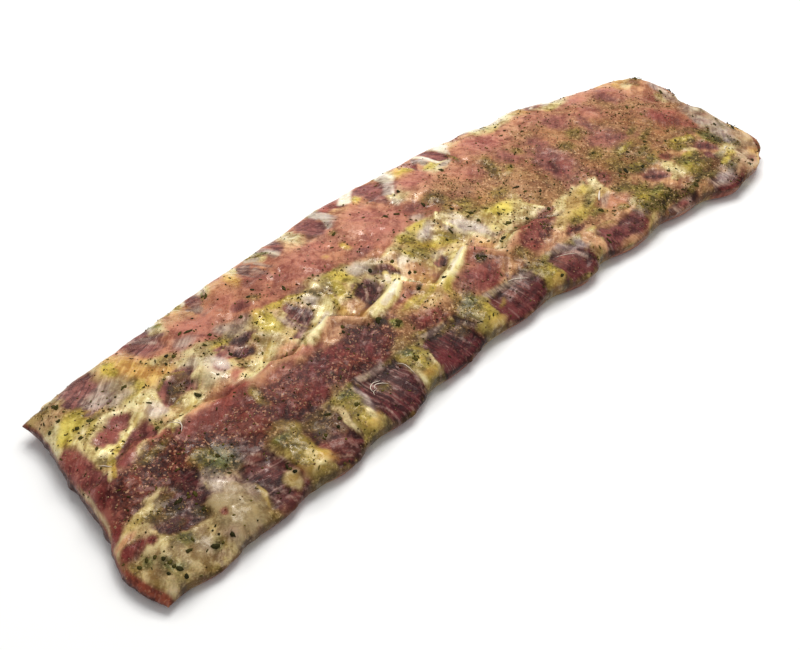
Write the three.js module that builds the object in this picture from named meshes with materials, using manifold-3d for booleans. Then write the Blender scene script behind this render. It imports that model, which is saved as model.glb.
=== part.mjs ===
// A raw rack of pork ribs, lying flat with its bone side up.
//
// One slab of meat carries the whole relief: a low hump over each rib, sunken windows of dark
// meat between the ribs, and the long strip of skirt muscle that crosses them and ends in a
// scalloped lip of fat. The ribs are bars of bone that run through the slab and show at both
// long edges. The largest herb flakes of the rub are fused to the top.
//
// Millimetres. X runs along the rack, Y across it (front edge at -Y), Z is up. The origin is
// the centre of the footprint, on the surface that the rack lies on.

import * as THREE from 'three';
import { mergeVertices } from 'three/addons/utils/BufferGeometryUtils.js';
import Module from 'manifold-3d';

const wasm = await Module();
wasm.setup();

// ---------------------------------------------------------------- driving dimensions

// The outline: the long edges as [x, y], the ends as [share of the way from front to back, x].
const frontEdge = [[-203, -63.2], [-190, -64.6], [-172, -64.4], [-156, -63.4], [-139, -61.4], [-128, -61],
  [-116, -62.2], [-106, -61], [-96, -59.4], [-80, -58.9], [-62, -56.8], [-52, -55], [-44, -54.8],
  [-30, -52.8], [-10, -51.6], [10, -51], [28, -51.8], [38, -53.6], [50, -54.2], [66, -52.3], [84, -53.8],
  [96, -54.8], [104, -54], [112, -52.8], [128, -55.4], [140, -57.4], [149, -60], [158, -62.2],
  [170, -61.6], [188, -56.8]];
const backEdge = [[-193, 41], [-180, 43.8], [-166, 47.4], [-139, 51], [-115, 54.2], [-90, 58], [-67, 60.4],
  [-40, 62.8], [-6, 66.8], [20, 66.4], [38, 65.8], [62, 65.6], [78, 63.2], [90, 62.6], [104, 59.2],
  [118, 59.4], [126, 57.6], [142, 52.2], [152, 48.9], [166, 46.2], [180, 42], [190, 39.4], [203, 34.5]];
const nearEnd = [[0, -198.6], [0.1, -202.4], [0.19, -203], [0.27, -200.6], [0.35, -196.4], [0.48, -193.2],
  [0.62, -191], [0.72, -189.4], [0.8, -186.8], [0.91, -184.8], [1, -185.8]];
const farEnd = [[0, 189], [0.08, 197], [0.19, 198.8], [0.3, 197.4], [0.38, 197.8], [0.455, 198.4],
  [0.58, 195.6], [0.66, 198.4], [0.74, 199.6], [0.86, 199.6], [1, 199.6]];
const rackLength = 395;
const rackWidth = 116;

// Moves the rack so that the middle of its footprint, bone ends included, is at the origin.
const footprintMiddle = { x: -1.72, y: 0.41 };

// Where each rib crosses the front and the back edge, as X: their spacing is uneven.
const ribFront = [-189, -160, -122, -90, -52, -12, 30, 64, 103, 138, 169];
const ribBack = [-170, -144, -112, -80, -44, -7, 36, 77, 112, 142, 168];
const endPitch = 32;

// Thickness of the slab, as [share of the way from front to back, mm], and how it thins at the ends.
const thickness = [[0, 9.8], [0.06, 12], [0.18, 13.4], [0.3, 14.4], [0.5, 16.8], [0.7, 18], [0.86, 17],
  [0.95, 14.6], [1, 11.5]];
const endThinning = [[0, 0.72], [0.05, 0.84], [0.18, 0.96], [0.5, 1], [0.8, 1], [0.93, 0.92], [1, 0.76]];
const rimHeight = { near: 3.6, gainAlong: 3, gainAcross: 1.6 };
const cornerLift = { near: 2, far: 2 };

// Radii of the top's edges: both long edges are blunter over the end of a rib than between two ribs.
const rimRadius = { front: 11, frontAtRib: 3, back: 8, backAtRib: 3.5, near: 7, far: 7 };
const undercut = 9;
const rimRoundness = { plain: 2.4, between: 1.5 };

// The skirt muscle, all along X: its front border, the line of its fat lip, how far that line
// climbs from one rib to the next, and the muscle's height.
const skirtFront = [[-203, -34], [-180, -31], [-162, -35], [-147, -38], [-60, -37], [0, -37], [45, -37.5],
  [75, -41], [100, -46]];
const skirtLip = [[-203, -14], [-166, -7], [-137, -8.4], [-108, -10.4], [-74, -8], [-37, -11.6], [0, -16.4],
  [40, -20], [80, -26]];
const lipClimb = [[-203, 2], [-166, 3], [-137, 3], [-108, 4], [-74, 9], [-37, 11], [0, 16], [40, 8], [80, 4]];
const lipLead = 0.2;
const lipFall = 0.28;
const skirtHeight = [[-203, 1.6], [-186, 2.4], [-60, 3.4], [0, 3.2], [40, 2.8], [70, 1.4], [95, 0]];
const lipHeight = 1.5;

// Relief of the ribs, and the three rows of sunken windows between them: where a row starts and
// ends, measured inwards from its line, how deep it is, and where along X it fades out.
const ribHump = 1.5;
const humpStart = 16;
const windows = [
  { from: 'front', start: 1.5, end: 25, depth: 1.8, fadeX: 400 },
  { from: 'lip', start: 2, end: 22, depth: 1.6, fadeX: 30 },
  { from: 'back', start: 1.5, end: 24, depth: 1.6, fadeX: 80 },
];
const frontScallop = 2.2;
const backScallop = 1.8;
const skirtShelter = 2;
const unevenness = 0.45;

// The rib bones: half sizes of their oval section and the height of their middle line.
const bone = { sides: 10, steps: 6, halfWidth: 5.6, flare: 1.6, halfHeight: 2.7, swell: 1.3, thinning: 0.7,
  frontZ: 5.2, rise: 2.2, droop: 0.8, arch: 5, proud: 0.4, dome: 0.4, roundness: 2.4 };
const seatGap = 0.3;
const seatOverrun = 7;

// The herb flakes: rows and columns of places, each shaken about, and the sizes of a flake.
const flakes = { columns: 16, rows: 4, shake: 0.8, halfLength: [1.5, 2.7], halfWidth: [0.8, 1.3],
  halfThickness: 0.6, lift: -0.1, corners: 6, margin: 12, seed: 41 };

// Grid of the slab: distances of the close lines beside the rim, then even steps between them.
const grid = { rimLines: [0, 0.6, 2, 4.4], along: 86, across: 28 };

const colours = { meat: 0x9c5148, bone: 0xe8d9b4 };

// ---------------------------------------------------------------- small helpers

const clamp = (t) => Math.min(1, Math.max(0, t));
const mix = (a, b, t) => a + (b - a) * t;

// Smooth step from 0 at a to 1 at b.
function step(a, b, t) {
  const s = clamp((t - a) / (b - a));
  return s * s * (3 - 2 * s);
}

// A smooth curve through [t, value] knots: cubic pieces with the slopes of their neighbours.
function through(knots) {
  const slope = (i) => {
    const a = knots[Math.max(0, i - 1)];
    const b = knots[Math.min(knots.length - 1, i + 1)];
    return (b[1] - a[1]) / (b[0] - a[0]);
  };
  return (t) => {
    const last = knots.length - 2;
    let i = 0;
    while (i < last && t > knots[i + 1][0]) i += 1;
    const [[t0, p0], [t1, p1]] = [knots[i], knots[i + 1]];
    const w = t1 - t0;
    const s = clamp((t - t0) / w);
    const bend = (1 - s) * (w * slope(i) - (p1 - p0)) - s * (w * slope(i + 1) - (p1 - p0));
    return mix(p0, p1, s) + s * (1 - s) * bend;
  };
}

// Repeatable random numbers from 0 to 1.
function randomFrom(seed) {
  let state = seed;
  return () => {
    state = (state * 16807) % 2147483647;
    return state / 2147483647;
  };
}

// A fixed number from 0 to 1 for each pair of whole numbers.
function chance(a, b) {
  const wave = Math.sin(a * 12.9898 + b * 78.233) * 43758.5453;
  return wave - Math.floor(wave);
}

// ---------------------------------------------------------------- the plan of the rack

const edge = {
  front: through(frontEdge),
  back: through(backEdge),
  near: through(nearEnd),
  far: through(farEnd),
};
const slab = { thickness: through(thickness), thinning: through(endThinning) };
const skirt = {
  front: through(skirtFront),
  lip: through(skirtLip),
  climb: through(lipClimb),
  height: through(skirtHeight),
};

// How many ribs lie before x, with the part of the way to the next one: whole on a rib's middle.
function ribPhase(x, v) {
  const at = ribFront.map((front, k) => mix(front, ribBack[k], v));
  const last = at.length - 1;
  let phase = Math.min(0, (x - at[0]) / endPitch) + Math.max(0, (x - at[last]) / endPitch);
  for (let k = 0; k < last; k += 1) phase += clamp((x - at[k]) / (at[k + 1] - at[k]));
  return phase;
}

// The front edge bulges a little between the ribs, where the meat hangs past their ends.
function frontLine(x) {
  return edge.front(x) - frontScallop * (1 - Math.cos(2 * Math.PI * ribPhase(x, 0))) / 2;
}

// At the back it bulges between the ribs too, and draws in at their ends.
function backLine(x) {
  return edge.back(x) - backScallop * Math.cos(2 * Math.PI * ribPhase(x, 1)) / 2;
}

// The line of the lip: at each rib it drops back, and from there it climbs to the next.
function lipLine(x) {
  const phase = ribPhase(x, 0.5) + lipLead;
  const part = phase - Math.floor(phase);
  const saw = Math.min(part / (1 - lipFall), (1 - part) / lipFall);
  return skirt.lip(x) + skirt.climb(x) * (saw - 0.5);
}

// A point of the plan from its shares of the way along (u) and across (v).
function planPoint(u, v) {
  const x = mix(edge.near(v), edge.far(v), u);
  return [x, mix(frontLine(x), backLine(x), v)];
}

// ---------------------------------------------------------------- heights of the slab

// Blunt quarter-round rise from 0 at the rim to 1 at the given distance from it.
function rise(distance, radius, roundness = rimRoundness.plain) {
  const t = 1 - clamp(distance / radius);
  return (1 - t ** roundness) ** (1 / roundness);
}

// The two back corners curl up from the table.
function cornerRise(u, v) {
  return (cornerLift.near * (1 - u) ** 8 + cornerLift.far * u ** 12) * v ** 2;
}

function rimZ(u, v) {
  return rimHeight.near + rimHeight.gainAlong * u + rimHeight.gainAcross * v + cornerRise(u, v);
}

// One window: sunk between two ribs, in its own row, less deep in some places than others.
function windowDepth(row, index, x, y, v) {
  const phase = ribPhase(x, v);
  const part = phase - Math.floor(phase);
  const between = step(0.14, 0.34, part) * (1 - step(0.68, 0.86, part));
  const inward = { front: y - frontLine(x), lip: y - lipLine(x), back: backLine(x) - y }[row.from];
  const room = row.from === 'front' ? skirt.front(x) - frontLine(x) + skirtShelter : row.end;
  const end = Math.min(row.end, room);
  const inRow = step(row.start, row.start + 4, inward) * (1 - step(end - 5, end, inward));
  const strength = 0.6 + 0.4 * chance(Math.floor(phase), index);
  const fade = 1 - step(row.fadeX - 20, row.fadeX + 20, x);
  return row.depth * between * inRow * strength * fade;
}

// The skirt muscle rises softly from its front border to its lip, where it drops steeply.
function skirtRelief(x, y) {
  const lip = lipLine(x);
  const body = step(-3, 12, y - skirt.front(x)) * (1 - step(-1.5, 3.5, y - lip));
  const crest = Math.exp(-(((y - lip + 2.5) / 3) ** 2)) * (0.4 + 0.6 * step(-115, -80, x));
  const height = skirt.height(x);
  return height * body + lipHeight * crest * clamp(height / 2);
}

function wobble(x, y) {
  const broad = Math.sin(0.19 * x + 0.9) * Math.sin(0.23 * y - 0.04 * x + 2.1);
  const fine = Math.sin(0.47 * x - 0.17 * y) * Math.sin(0.41 * y + 0.11 * x + 0.7);
  return unevenness * (broad + 0.6 * fine);
}

function topZ(u, v) {
  const [x, y] = planPoint(u, v);
  const atRib = (0.5 + 0.5 * Math.cos(2 * Math.PI * ribPhase(x, v))) ** 1.5;
  const hump = ribHump * atRib * step(0, humpStart, backLine(x) - y);
  const sunk = windows.reduce((sum, row, index) => sum + windowDepth(row, index, x, y, v), 0);
  const full = slab.thickness(v) * slab.thinning(u) + hump + skirtRelief(x, y) - sunk + wobble(x, y)
    + cornerRise(u, v);
  const roundness = mix(rimRoundness.between, rimRoundness.plain, atRib);
  const front = rise(v * rackWidth, mix(rimRadius.front, rimRadius.frontAtRib, atRib), roundness);
  const back = rise((1 - v) * rackWidth, mix(rimRadius.back, rimRadius.backAtRib, atRib));
  const open = rise(u * rackLength, rimRadius.near) * rise((1 - u) * rackLength, rimRadius.far) * front * back;
  return mix(rimZ(u, v), full, open);
}

function bottomZ(u, v) {
  const open = rise(u * rackLength, undercut) * rise((1 - u) * rackLength, undercut)
    * rise(v * rackWidth, undercut) * rise((1 - v) * rackWidth, undercut);
  return rimZ(u, v) * (1 - open);
}

// ---------------------------------------------------------------- the slab as a closed mesh

// Shares of the way at which grid lines lie: close beside both rims and even in between.
function gridLines(length, count) {
  const near = grid.rimLines.map((d) => d / length);
  const inner = count - 2 * (near.length - 1);
  const first = near[near.length - 1];
  const lines = near.slice(0, -1);
  for (let i = 0; i <= inner; i += 1) lines.push(mix(first, 1 - first, i / inner));
  for (let i = near.length - 2; i >= 0; i -= 1) lines.push(1 - near[i]);
  return lines;
}

// Top and bottom are two height fields that share the rim. The bottom uses every second grid
// line, and its outer cells take in the rim's points between them.
function slabGeometry() {
  const us = gridLines(rackLength, grid.along);
  const vs = gridLines(rackWidth, grid.across);
  const points = [];
  const top = us.map((u) => vs.map((v) => points.push([...planPoint(u, v), topZ(u, v)]) - 1));
  const isRim = (i, j) => i === 0 || j === 0 || i === us.length - 1 || j === vs.length - 1;
  const bottom = us.map((u, i) => vs.map((v, j) => {
    if (isRim(i, j)) return top[i][j];
    if (i % 2 || j % 2) return -1;
    return points.push([...planPoint(u, v), bottomZ(u, v)]) - 1;
  }));
  const triangles = [];
  for (let i = 0; i + 1 < us.length; i += 1) {
    for (let j = 0; j + 1 < vs.length; j += 1) {
      const [a, b, c, d] = [top[i][j], top[i + 1][j], top[i + 1][j + 1], top[i][j + 1]];
      if ((i + j) % 2) triangles.push(a, b, c, a, c, d);
      else triangles.push(a, b, d, b, c, d);
    }
  }
  for (let i = 0; i + 2 < us.length; i += 2) {
    for (let j = 0; j + 2 < vs.length; j += 2) {
      triangles.push(...bottomCell(bottom, i, j, us.length, vs.length));
    }
  }
  return meshFrom(points, triangles);
}

// One cell of the bottom, as a fan from a corner that isn't on the rim.
function bottomCell(bottom, i, j, countU, countV) {
  const ring = [[i, j], [i, j + 1], [i, j + 2], [i + 1, j + 2],
    [i + 2, j + 2], [i + 2, j + 1], [i + 2, j], [i + 1, j]];
  const used = ring.filter(([p, q]) => bottom[p][q] >= 0);
  const inside = ([p, q]) => p > 0 && q > 0 && p < countU - 1 && q < countV - 1;
  const start = used.findIndex((place) => inside(place));
  const turn = used.map((_, n) => used[(start + n) % used.length]).map(([p, q]) => bottom[p][q]);
  const fan = [];
  for (let n = 1; n + 1 < turn.length; n += 1) fan.push(turn[0], turn[n], turn[n + 1]);
  return fan;
}

function meshFrom(points, triangles) {
  const geometry = new THREE.BufferGeometry();
  geometry.setAttribute('position', new THREE.Float32BufferAttribute(points.flat(), 3));
  geometry.setIndex(triangles);
  return geometry;
}

// ---------------------------------------------------------------- rib bones

// Middle line of a rib from its front end (t = 0) to its back end (t = 1), with its half sizes.
function boneAt(k, t, overrun) {
  const reach = bone.proud + overrun;
  const front = new THREE.Vector2(ribFront[k], frontLine(ribFront[k]) + frontScallop / 2);
  const back = new THREE.Vector2(ribBack[k], backLine(ribBack[k]));
  const run = back.clone().sub(front);
  const share = mix(-reach / run.length(), 1 + reach / run.length(), t);
  const level = clamp(share);
  const place = front.addScaledVector(run, share);
  const z = bone.frontZ + bone.rise * level - bone.droop * level ** 3 + bone.arch * level * (1 - level);
  const swelling = bone.swell * Math.sqrt(Math.sin(Math.PI * clamp(level * 0.9 + 0.02)));
  return {
    centre: new THREE.Vector3(place.x, place.y, z),
    across: new THREE.Vector3(run.y, -run.x, 0).normalize(),
    halfWidth: bone.halfWidth + bone.flare * (1 - level) ** 3,
    halfHeight: bone.halfHeight + swelling - bone.thinning * level ** 3,
  };
}

// A bar of flattened oval section along the rib's middle line, with softly domed sawn ends.
function boneGeometry(k, grow, overrun) {
  const points = [];
  const ring = (t) => {
    const { centre, across, halfWidth, halfHeight } = boneAt(k, t, overrun);
    return Array.from({ length: bone.sides }, (_, n) => {
      const angle = (2 * Math.PI * (n + 0.5)) / bone.sides;
      const [c, s] = [Math.cos(angle), Math.sin(angle)];
      const square = (w) => Math.sign(w) * Math.abs(w) ** (2 / bone.roundness);
      const p = centre.clone().addScaledVector(across, (halfWidth + grow) * square(c));
      return points.push([p.x, p.y, p.z + (halfHeight + grow) * square(s)]) - 1;
    });
  };
  const rings = Array.from({ length: bone.steps + 1 }, (_, n) => ring(n / bone.steps));
  const capCentre = (t, out) => {
    const { centre, across } = boneAt(k, t, overrun);
    return points.push([centre.x - across.y * out, centre.y + across.x * out, centre.z]) - 1;
  };
  const start = capCentre(0, -bone.dome);
  const finish = capCentre(1, bone.dome);
  const triangles = [];
  for (let n = 0; n < bone.sides; n += 1) {
    const m = (n + 1) % bone.sides;
    for (let r = 0; r < bone.steps; r += 1) {
      const [a, b, c, d] = [rings[r][n], rings[r][m], rings[r + 1][m], rings[r + 1][n]];
      triangles.push(a, c, b, a, d, c);
    }
    triangles.push(start, rings[0][n], rings[0][m], finish, rings[bone.steps][m], rings[bone.steps][n]);
  }
  return meshFrom(points, triangles);
}

// ---------------------------------------------------------------- herb flakes

// Where the flakes lie: a regular array of places over the top, each moved at random.
function flakePlaces(random) {
  const places = [];
  const shaken = (i, count, length) => {
    const share = (i + 0.5 + flakes.shake * (random() - 0.5)) / count;
    return mix(flakes.margin / length, 1 - flakes.margin / length, share);
  };
  for (let i = 0; i < flakes.columns; i += 1) {
    for (let j = 0; j < flakes.rows; j += 1) {
      places.push([shaken(i, flakes.columns, rackLength), shaken(j, flakes.rows, rackWidth)]);
    }
  }
  return places;
}

// A flake: a thin plate with a few uneven corners, laid along the slope of the meat.
function flakeGeometry(u, v, random) {
  const d = 0.004;
  const at = (p, q) => new THREE.Vector3(...planPoint(p, q), topZ(p, q));
  const centre = at(u, v);
  const normal = at(u + d, v).sub(at(u - d, v)).cross(at(u, v + d).sub(at(u, v - d))).normalize();
  const turn = new THREE.Vector3(Math.cos(7 * random()), Math.sin(7 * random()), 0);
  const length = turn.addScaledVector(normal, -turn.dot(normal)).normalize();
  const width = normal.clone().cross(length);
  const halfLength = mix(...flakes.halfLength, random());
  const halfWidth = mix(...flakes.halfWidth, random());
  const points = [];
  const level = (side) => Array.from({ length: flakes.corners }, (_, n) => {
    const angle = (2 * Math.PI * n) / flakes.corners;
    const p = centre.clone().addScaledVector(normal, flakes.lift + side * flakes.halfThickness);
    p.addScaledVector(length, halfLength * Math.cos(angle) * (n % 3 ? 1 : 0.85));
    p.addScaledVector(width, halfWidth * Math.sin(angle) * (n % 2 ? 1 : 0.8));
    return points.push(p.toArray()) - 1;
  });
  const [low, high] = [level(-1), level(1)];
  const triangles = [];
  for (let n = 0; n < flakes.corners; n += 1) {
    const m = (n + 1) % flakes.corners;
    triangles.push(low[n], low[m], high[m], low[n], high[m], high[n]);
    if (n === 0 || m === 0) continue;
    triangles.push(high[0], high[n], high[m], low[0], low[m], low[n]);
  }
  return meshFrom(points, triangles);
}

// ---------------------------------------------------------------- cutting and joining

function toSolid(geometry) {
  const merged = mergeVertices(geometry);
  return new wasm.Manifold(new wasm.Mesh({
    numProp: 3,
    vertProperties: new Float32Array(merged.attributes.position.array),
    triVerts: new Uint32Array(merged.index.array),
  }));
}

function toGeometry(solid) {
  const mesh = solid.getMesh();
  const geometry = new THREE.BufferGeometry();
  geometry.setAttribute('position', new THREE.BufferAttribute(mesh.vertProperties, 3));
  geometry.setIndex(new THREE.BufferAttribute(mesh.triVerts, 1));
  return geometry;
}

// The slab with a seat for each bone and the flakes joined on. A flake that touches nothing is dropped.
function meatGeometry() {
  const random = randomFrom(flakes.seed);
  const seats = ribFront.map((_, k) => toSolid(boneGeometry(k, seatGap, seatOverrun)));
  const toppings = flakePlaces(random).map(([u, v]) => toSolid(flakeGeometry(u, v, random)));
  let meat = toSolid(slabGeometry());
  toppings.forEach((flake) => { meat = meat.add(flake); });
  seats.forEach((seat) => { meat = meat.subtract(seat); });
  const bodies = meat.decompose().sort((a, b) => b.volume() - a.volume());
  return toGeometry(bodies[0]);
}

// ---------------------------------------------------------------- the finished rack

function addMesh(group, name, geometry, material) {
  const mesh = new THREE.Mesh(geometry, material);
  mesh.name = name;
  group.add(mesh);
}

const group = new THREE.Group();
group.position.set(-footprintMiddle.x, -footprintMiddle.y, 0);
const meatFinish = new THREE.MeshStandardMaterial({ color: colours.meat, roughness: 0.35, metalness: 0 });
addMesh(group, 'rib_meat', meatGeometry(), meatFinish);
ribFront.forEach((_, k) => {
  const boneFinish = new THREE.MeshStandardMaterial({ color: colours.bone, roughness: 0.55, metalness: 0 });
  addMesh(group, `rib_bone_${k + 1}`, boneGeometry(k, 0, 0), boneFinish);
});

export default group;
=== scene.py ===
# %% [markdown]
# # A raw rack of ribs
#
# The real thing is one slab of meat, lying bone side up, with eleven ribs inside it. The packed
# solids give its size and place. This script dresses them: a fine surface with the relief and
# colours of muscle, fat and membrane, the sawn rib ends, and the herb rub that is scattered on top.

import bpy
import numpy as np
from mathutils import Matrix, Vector


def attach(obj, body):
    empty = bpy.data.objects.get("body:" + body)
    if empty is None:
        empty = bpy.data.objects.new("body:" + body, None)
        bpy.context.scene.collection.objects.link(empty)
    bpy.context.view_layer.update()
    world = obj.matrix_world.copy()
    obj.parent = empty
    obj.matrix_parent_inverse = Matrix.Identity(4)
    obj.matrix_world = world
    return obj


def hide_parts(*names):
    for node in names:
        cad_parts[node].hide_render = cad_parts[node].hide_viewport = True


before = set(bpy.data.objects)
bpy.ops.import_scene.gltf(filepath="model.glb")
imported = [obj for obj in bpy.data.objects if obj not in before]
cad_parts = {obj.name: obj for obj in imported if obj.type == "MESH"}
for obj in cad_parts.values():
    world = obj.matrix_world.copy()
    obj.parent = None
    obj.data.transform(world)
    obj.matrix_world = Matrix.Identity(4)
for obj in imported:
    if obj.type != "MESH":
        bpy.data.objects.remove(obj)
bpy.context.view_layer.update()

# One millimetre in metres. The frame is in metres, and the script's own lengths are in millimetres.
MM = 0.001

# %% [markdown]
# ## Camera, floor and light
#
# Food is often shown on a bright table under one very large soft lamp. A pale floor, a bright even
# sky and one lamp high behind the rack give the short soft shadow in front of it and the wet
# glints on top. The colours are shown as they are, without a film curve.

# %% The camera
EYE = Vector((-0.3422, -0.3198, 0.3671))
LOOK = Vector((0.5475, 0.5358, -0.6428))
LENS = 58.5
SENSOR = 36

scene = bpy.context.scene
camera_data = bpy.data.cameras.new("camera")
camera_data.lens = LENS
camera_data.sensor_width = SENSOR
camera_data.clip_start = 0.01
camera = bpy.data.objects.new("camera", camera_data)
camera.location = EYE
camera.rotation_euler = LOOK.to_track_quat("-Z", "Y").to_euler()
scene.collection.objects.link(camera)
scene.camera = camera
scene.view_settings.view_transform = "Standard"
print("camera looks down at", round(float(np.degrees(np.arcsin(-LOOK.z))), 1), "degrees")

# %% The lamp and the sky
SKY = 0.52
SKY_COLOUR = (1.0, 0.965, 0.91)
# Each lamp: its name, its power in watts, its width and its place in metres.
LAMPS = [
    ("lamp", 13.4, 0.85, Vector((0.36, 0.26, 1.10))),
    ("glint", 1.1, 0.16, Vector((0.42, 0.62, 0.92))),
]
LAMP_COLOUR = (1.0, 0.955, 0.88)

world = bpy.data.worlds.new("sky")
world.use_nodes = True
world.node_tree.nodes["Background"].inputs["Color"].default_value = (*SKY_COLOUR, 1.0)
world.node_tree.nodes["Background"].inputs["Strength"].default_value = SKY
scene.world = world
for name, power, size, place in LAMPS:
    lamp_data = bpy.data.lights.new(name, "AREA")
    lamp_data.energy = power
    lamp_data.size = size
    lamp_data.color = LAMP_COLOUR
    lamp = bpy.data.objects.new(name, lamp_data)
    lamp.location = place
    lamp.rotation_euler = (-place).to_track_quat("-Z", "Y").to_euler()
    scene.collection.objects.link(lamp)
    print(name, "stands", round(place.length, 2), "m away")

# %% [markdown]
# ## Writing shader maths as Python
#
# A material is a net of small nodes. Wrapping a socket in a class lets `1 - mask` or
# `noise * 0.3 + mask` add the right Math nodes, so that a finish reads like a formula. Colours
# are blended by Mix nodes, because a Math node would turn them grey.

# %% A wire that understands arithmetic
class Wire:
    """An output socket of a shader node, on which arithmetic adds Math nodes."""

    def __init__(self, socket):
        self.socket = socket

    def node(self, kind, settings, inputs, output=0):
        """Adds a node: first its settings, then the number, colour or wire of each input."""
        tree = self.socket.id_data
        added = tree.nodes.new("ShaderNode" + kind)
        for name, value in settings.items():
            setattr(added, name, value)
        for place, value in inputs.items():
            if isinstance(value, Wire):
                tree.links.new(value.socket, added.inputs[place])
            else:
                added.inputs[place].default_value = value
        return Wire(added.outputs[output])

    def math(self, operation, first, second):
        return self.node("Math", {"operation": operation}, {0: first, 1: second})

    def __add__(self, other):
        return self.math("ADD", self, other)

    def __sub__(self, other):
        return self.math("SUBTRACT", self, other)

    def __mul__(self, other):
        return self.math("MULTIPLY", self, other)

    def __rsub__(self, other):
        return self.math("SUBTRACT", other, self)

    __radd__ = __add__
    __rmul__ = __mul__


def ramp(value, low, high, start=0.0, end=1.0):
    """A smooth step from start, where value is low, to end, where it is high."""
    limits = {"From Min": low, "From Max": high, "To Min": start, "To Max": end}
    return value.node("MapRange", {"interpolation_type": "SMOOTHSTEP"}, {"Value": value, **limits})


def mixed(factor, first, second, how="MIX"):
    """Two colours blended by a factor from 0, the first, to 1, the second."""
    settings = {"data_type": "RGBA", "blend_type": how}
    return factor.node("Mix", settings, {0: factor, 6: first, 7: second}, 2)


def grain(place, size, detail=3.0, rough=0.55, warp=0.0):
    """Cloudy noise from 0 to 1 whose largest clouds are about size apart, in the place's units."""
    inputs = {"Vector": place, "Scale": 1 / size, "Detail": detail, "Roughness": rough, "Distortion": warp}
    return place.node("TexNoise", {}, inputs)


def tint(code):
    """A colour from six hex digits, as the linear numbers that a shader takes."""
    parts = np.array([int(code[k:k + 2], 16) for k in (0, 2, 4)]) / 255
    linear = np.where(parts < 0.04045, parts / 12.92, ((parts + 0.055) / 1.055) ** 2.4)
    return (*linear.tolist(), 1.0)


# Wet coats are nearly clear. Light that sinks in comes out reddish, up to 2.5 mm from where it entered.
COAT_ROUGHNESS = 0.12
BLEED_COLOUR = (1.0, 0.35, 0.2)
BLEED_DEPTH = 0.0025


def new_material(name, roughness, coat=0.0, bleed=0.0, specular=0.5):
    """A wet or dry finish with its uniform numbers set, and the wire of its object coordinates in mm."""
    material = bpy.data.materials.new(name)
    material.use_nodes = True
    nodes = material.node_tree.nodes
    shader = nodes["Principled BSDF"]
    shader.inputs["Roughness"].default_value = roughness
    shader.inputs["Specular IOR Level"].default_value = specular
    shader.inputs["Coat Weight"].default_value = coat
    shader.inputs["Coat Roughness"].default_value = COAT_ROUGHNESS
    shader.inputs["Subsurface Weight"].default_value = bleed
    shader.inputs["Subsurface Radius"].default_value = BLEED_COLOUR
    shader.inputs["Subsurface Scale"].default_value = BLEED_DEPTH
    where = Wire(nodes.new("ShaderNodeTexCoord").outputs["Object"])
    place = where.node("VectorMath", {"operation": "SCALE"}, {0: where, "Scale": 1 / MM})
    return material, shader, place


def plug(shader, **wires):
    """Links wires to the shader's inputs: base_color goes to Base Color, and so on."""
    for name, wire in wires.items():
        wire.socket.id_data.links.new(wire.socket, shader.inputs[name.replace("_", " ").title()])


def bumped(height, depth):
    """A normal from a height wire from 0 to 1 that stands for depth millimetres."""
    return height.node("Bump", {}, {"Strength": 1.0, "Distance": depth * MM, "Height": height})


print("wires ready")

# %% [markdown]
# ### The floor
#
# A large white sheet. It is so evenly lit that it looks white up to the shadow of the rack.

# %% Laying the floor
FLOOR_HALF = 3.0

floor_mesh = bpy.data.meshes.new("floor")
corners = [(-FLOOR_HALF, -FLOOR_HALF, 0), (FLOOR_HALF, -FLOOR_HALF, 0),
           (FLOOR_HALF, FLOOR_HALF, 0), (-FLOOR_HALF, FLOOR_HALF, 0)]
floor_mesh.from_pydata(corners, [], [(0, 1, 2, 3)])
floor = bpy.data.objects.new("floor", floor_mesh)
scene.collection.objects.link(floor)
floor_finish, floor_shader, floor_place = new_material("white_table", roughness=0.6, specular=0.2)
plug(floor_shader, base_color=mixed(grain(floor_place, 300.0), tint("eef2f8"), tint("f0f4fa")))
floor_mesh.materials.append(floor_finish)
print("floor is", 2 * FLOOR_HALF, "m wide")

# %% [markdown]
# ## The plan of the rack
#
# The outline is four smooth curves: two long edges, front and back, and the two ends. Every point
# of the rack is then a pair of shares, u along it and v across it. Working in these shares keeps
# ribs, windows and lips in their places when an edge bows. All lengths are in millimetres.

# %% Curves through a few knots
def smooth(low, high, value):
    """A soft step from 0 to 1: three s squared less two s cubed, with s the share of the way."""
    s = np.clip((value - low) / (high - low), 0, 1)
    return s * s * (3 - 2 * s)


def fall(low, high, value):
    """A soft step the other way, from 1 to 0."""
    return 1 - smooth(low, high, value)


def through(knots):
    """A curve through [t, value] knots: cubic pieces whose slopes come from the two neighbours."""
    t, p = np.array(knots, float).T
    slope = np.gradient(p, t)
    slope[1:-1] = (p[2:] - p[:-2]) / (t[2:] - t[:-2])

    def curve(x):
        i = np.clip(np.searchsorted(t, x) - 1, 0, len(t) - 2)
        width = t[i + 1] - t[i]
        climb = p[i + 1] - p[i]
        s = np.clip((x - t[i]) / width, 0, 1)
        bend = (1 - s) * (width * slope[i] - climb) - s * (width * slope[i + 1] - climb)
        return p[i] + climb * s + s * (1 - s) * bend

    return curve


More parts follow.
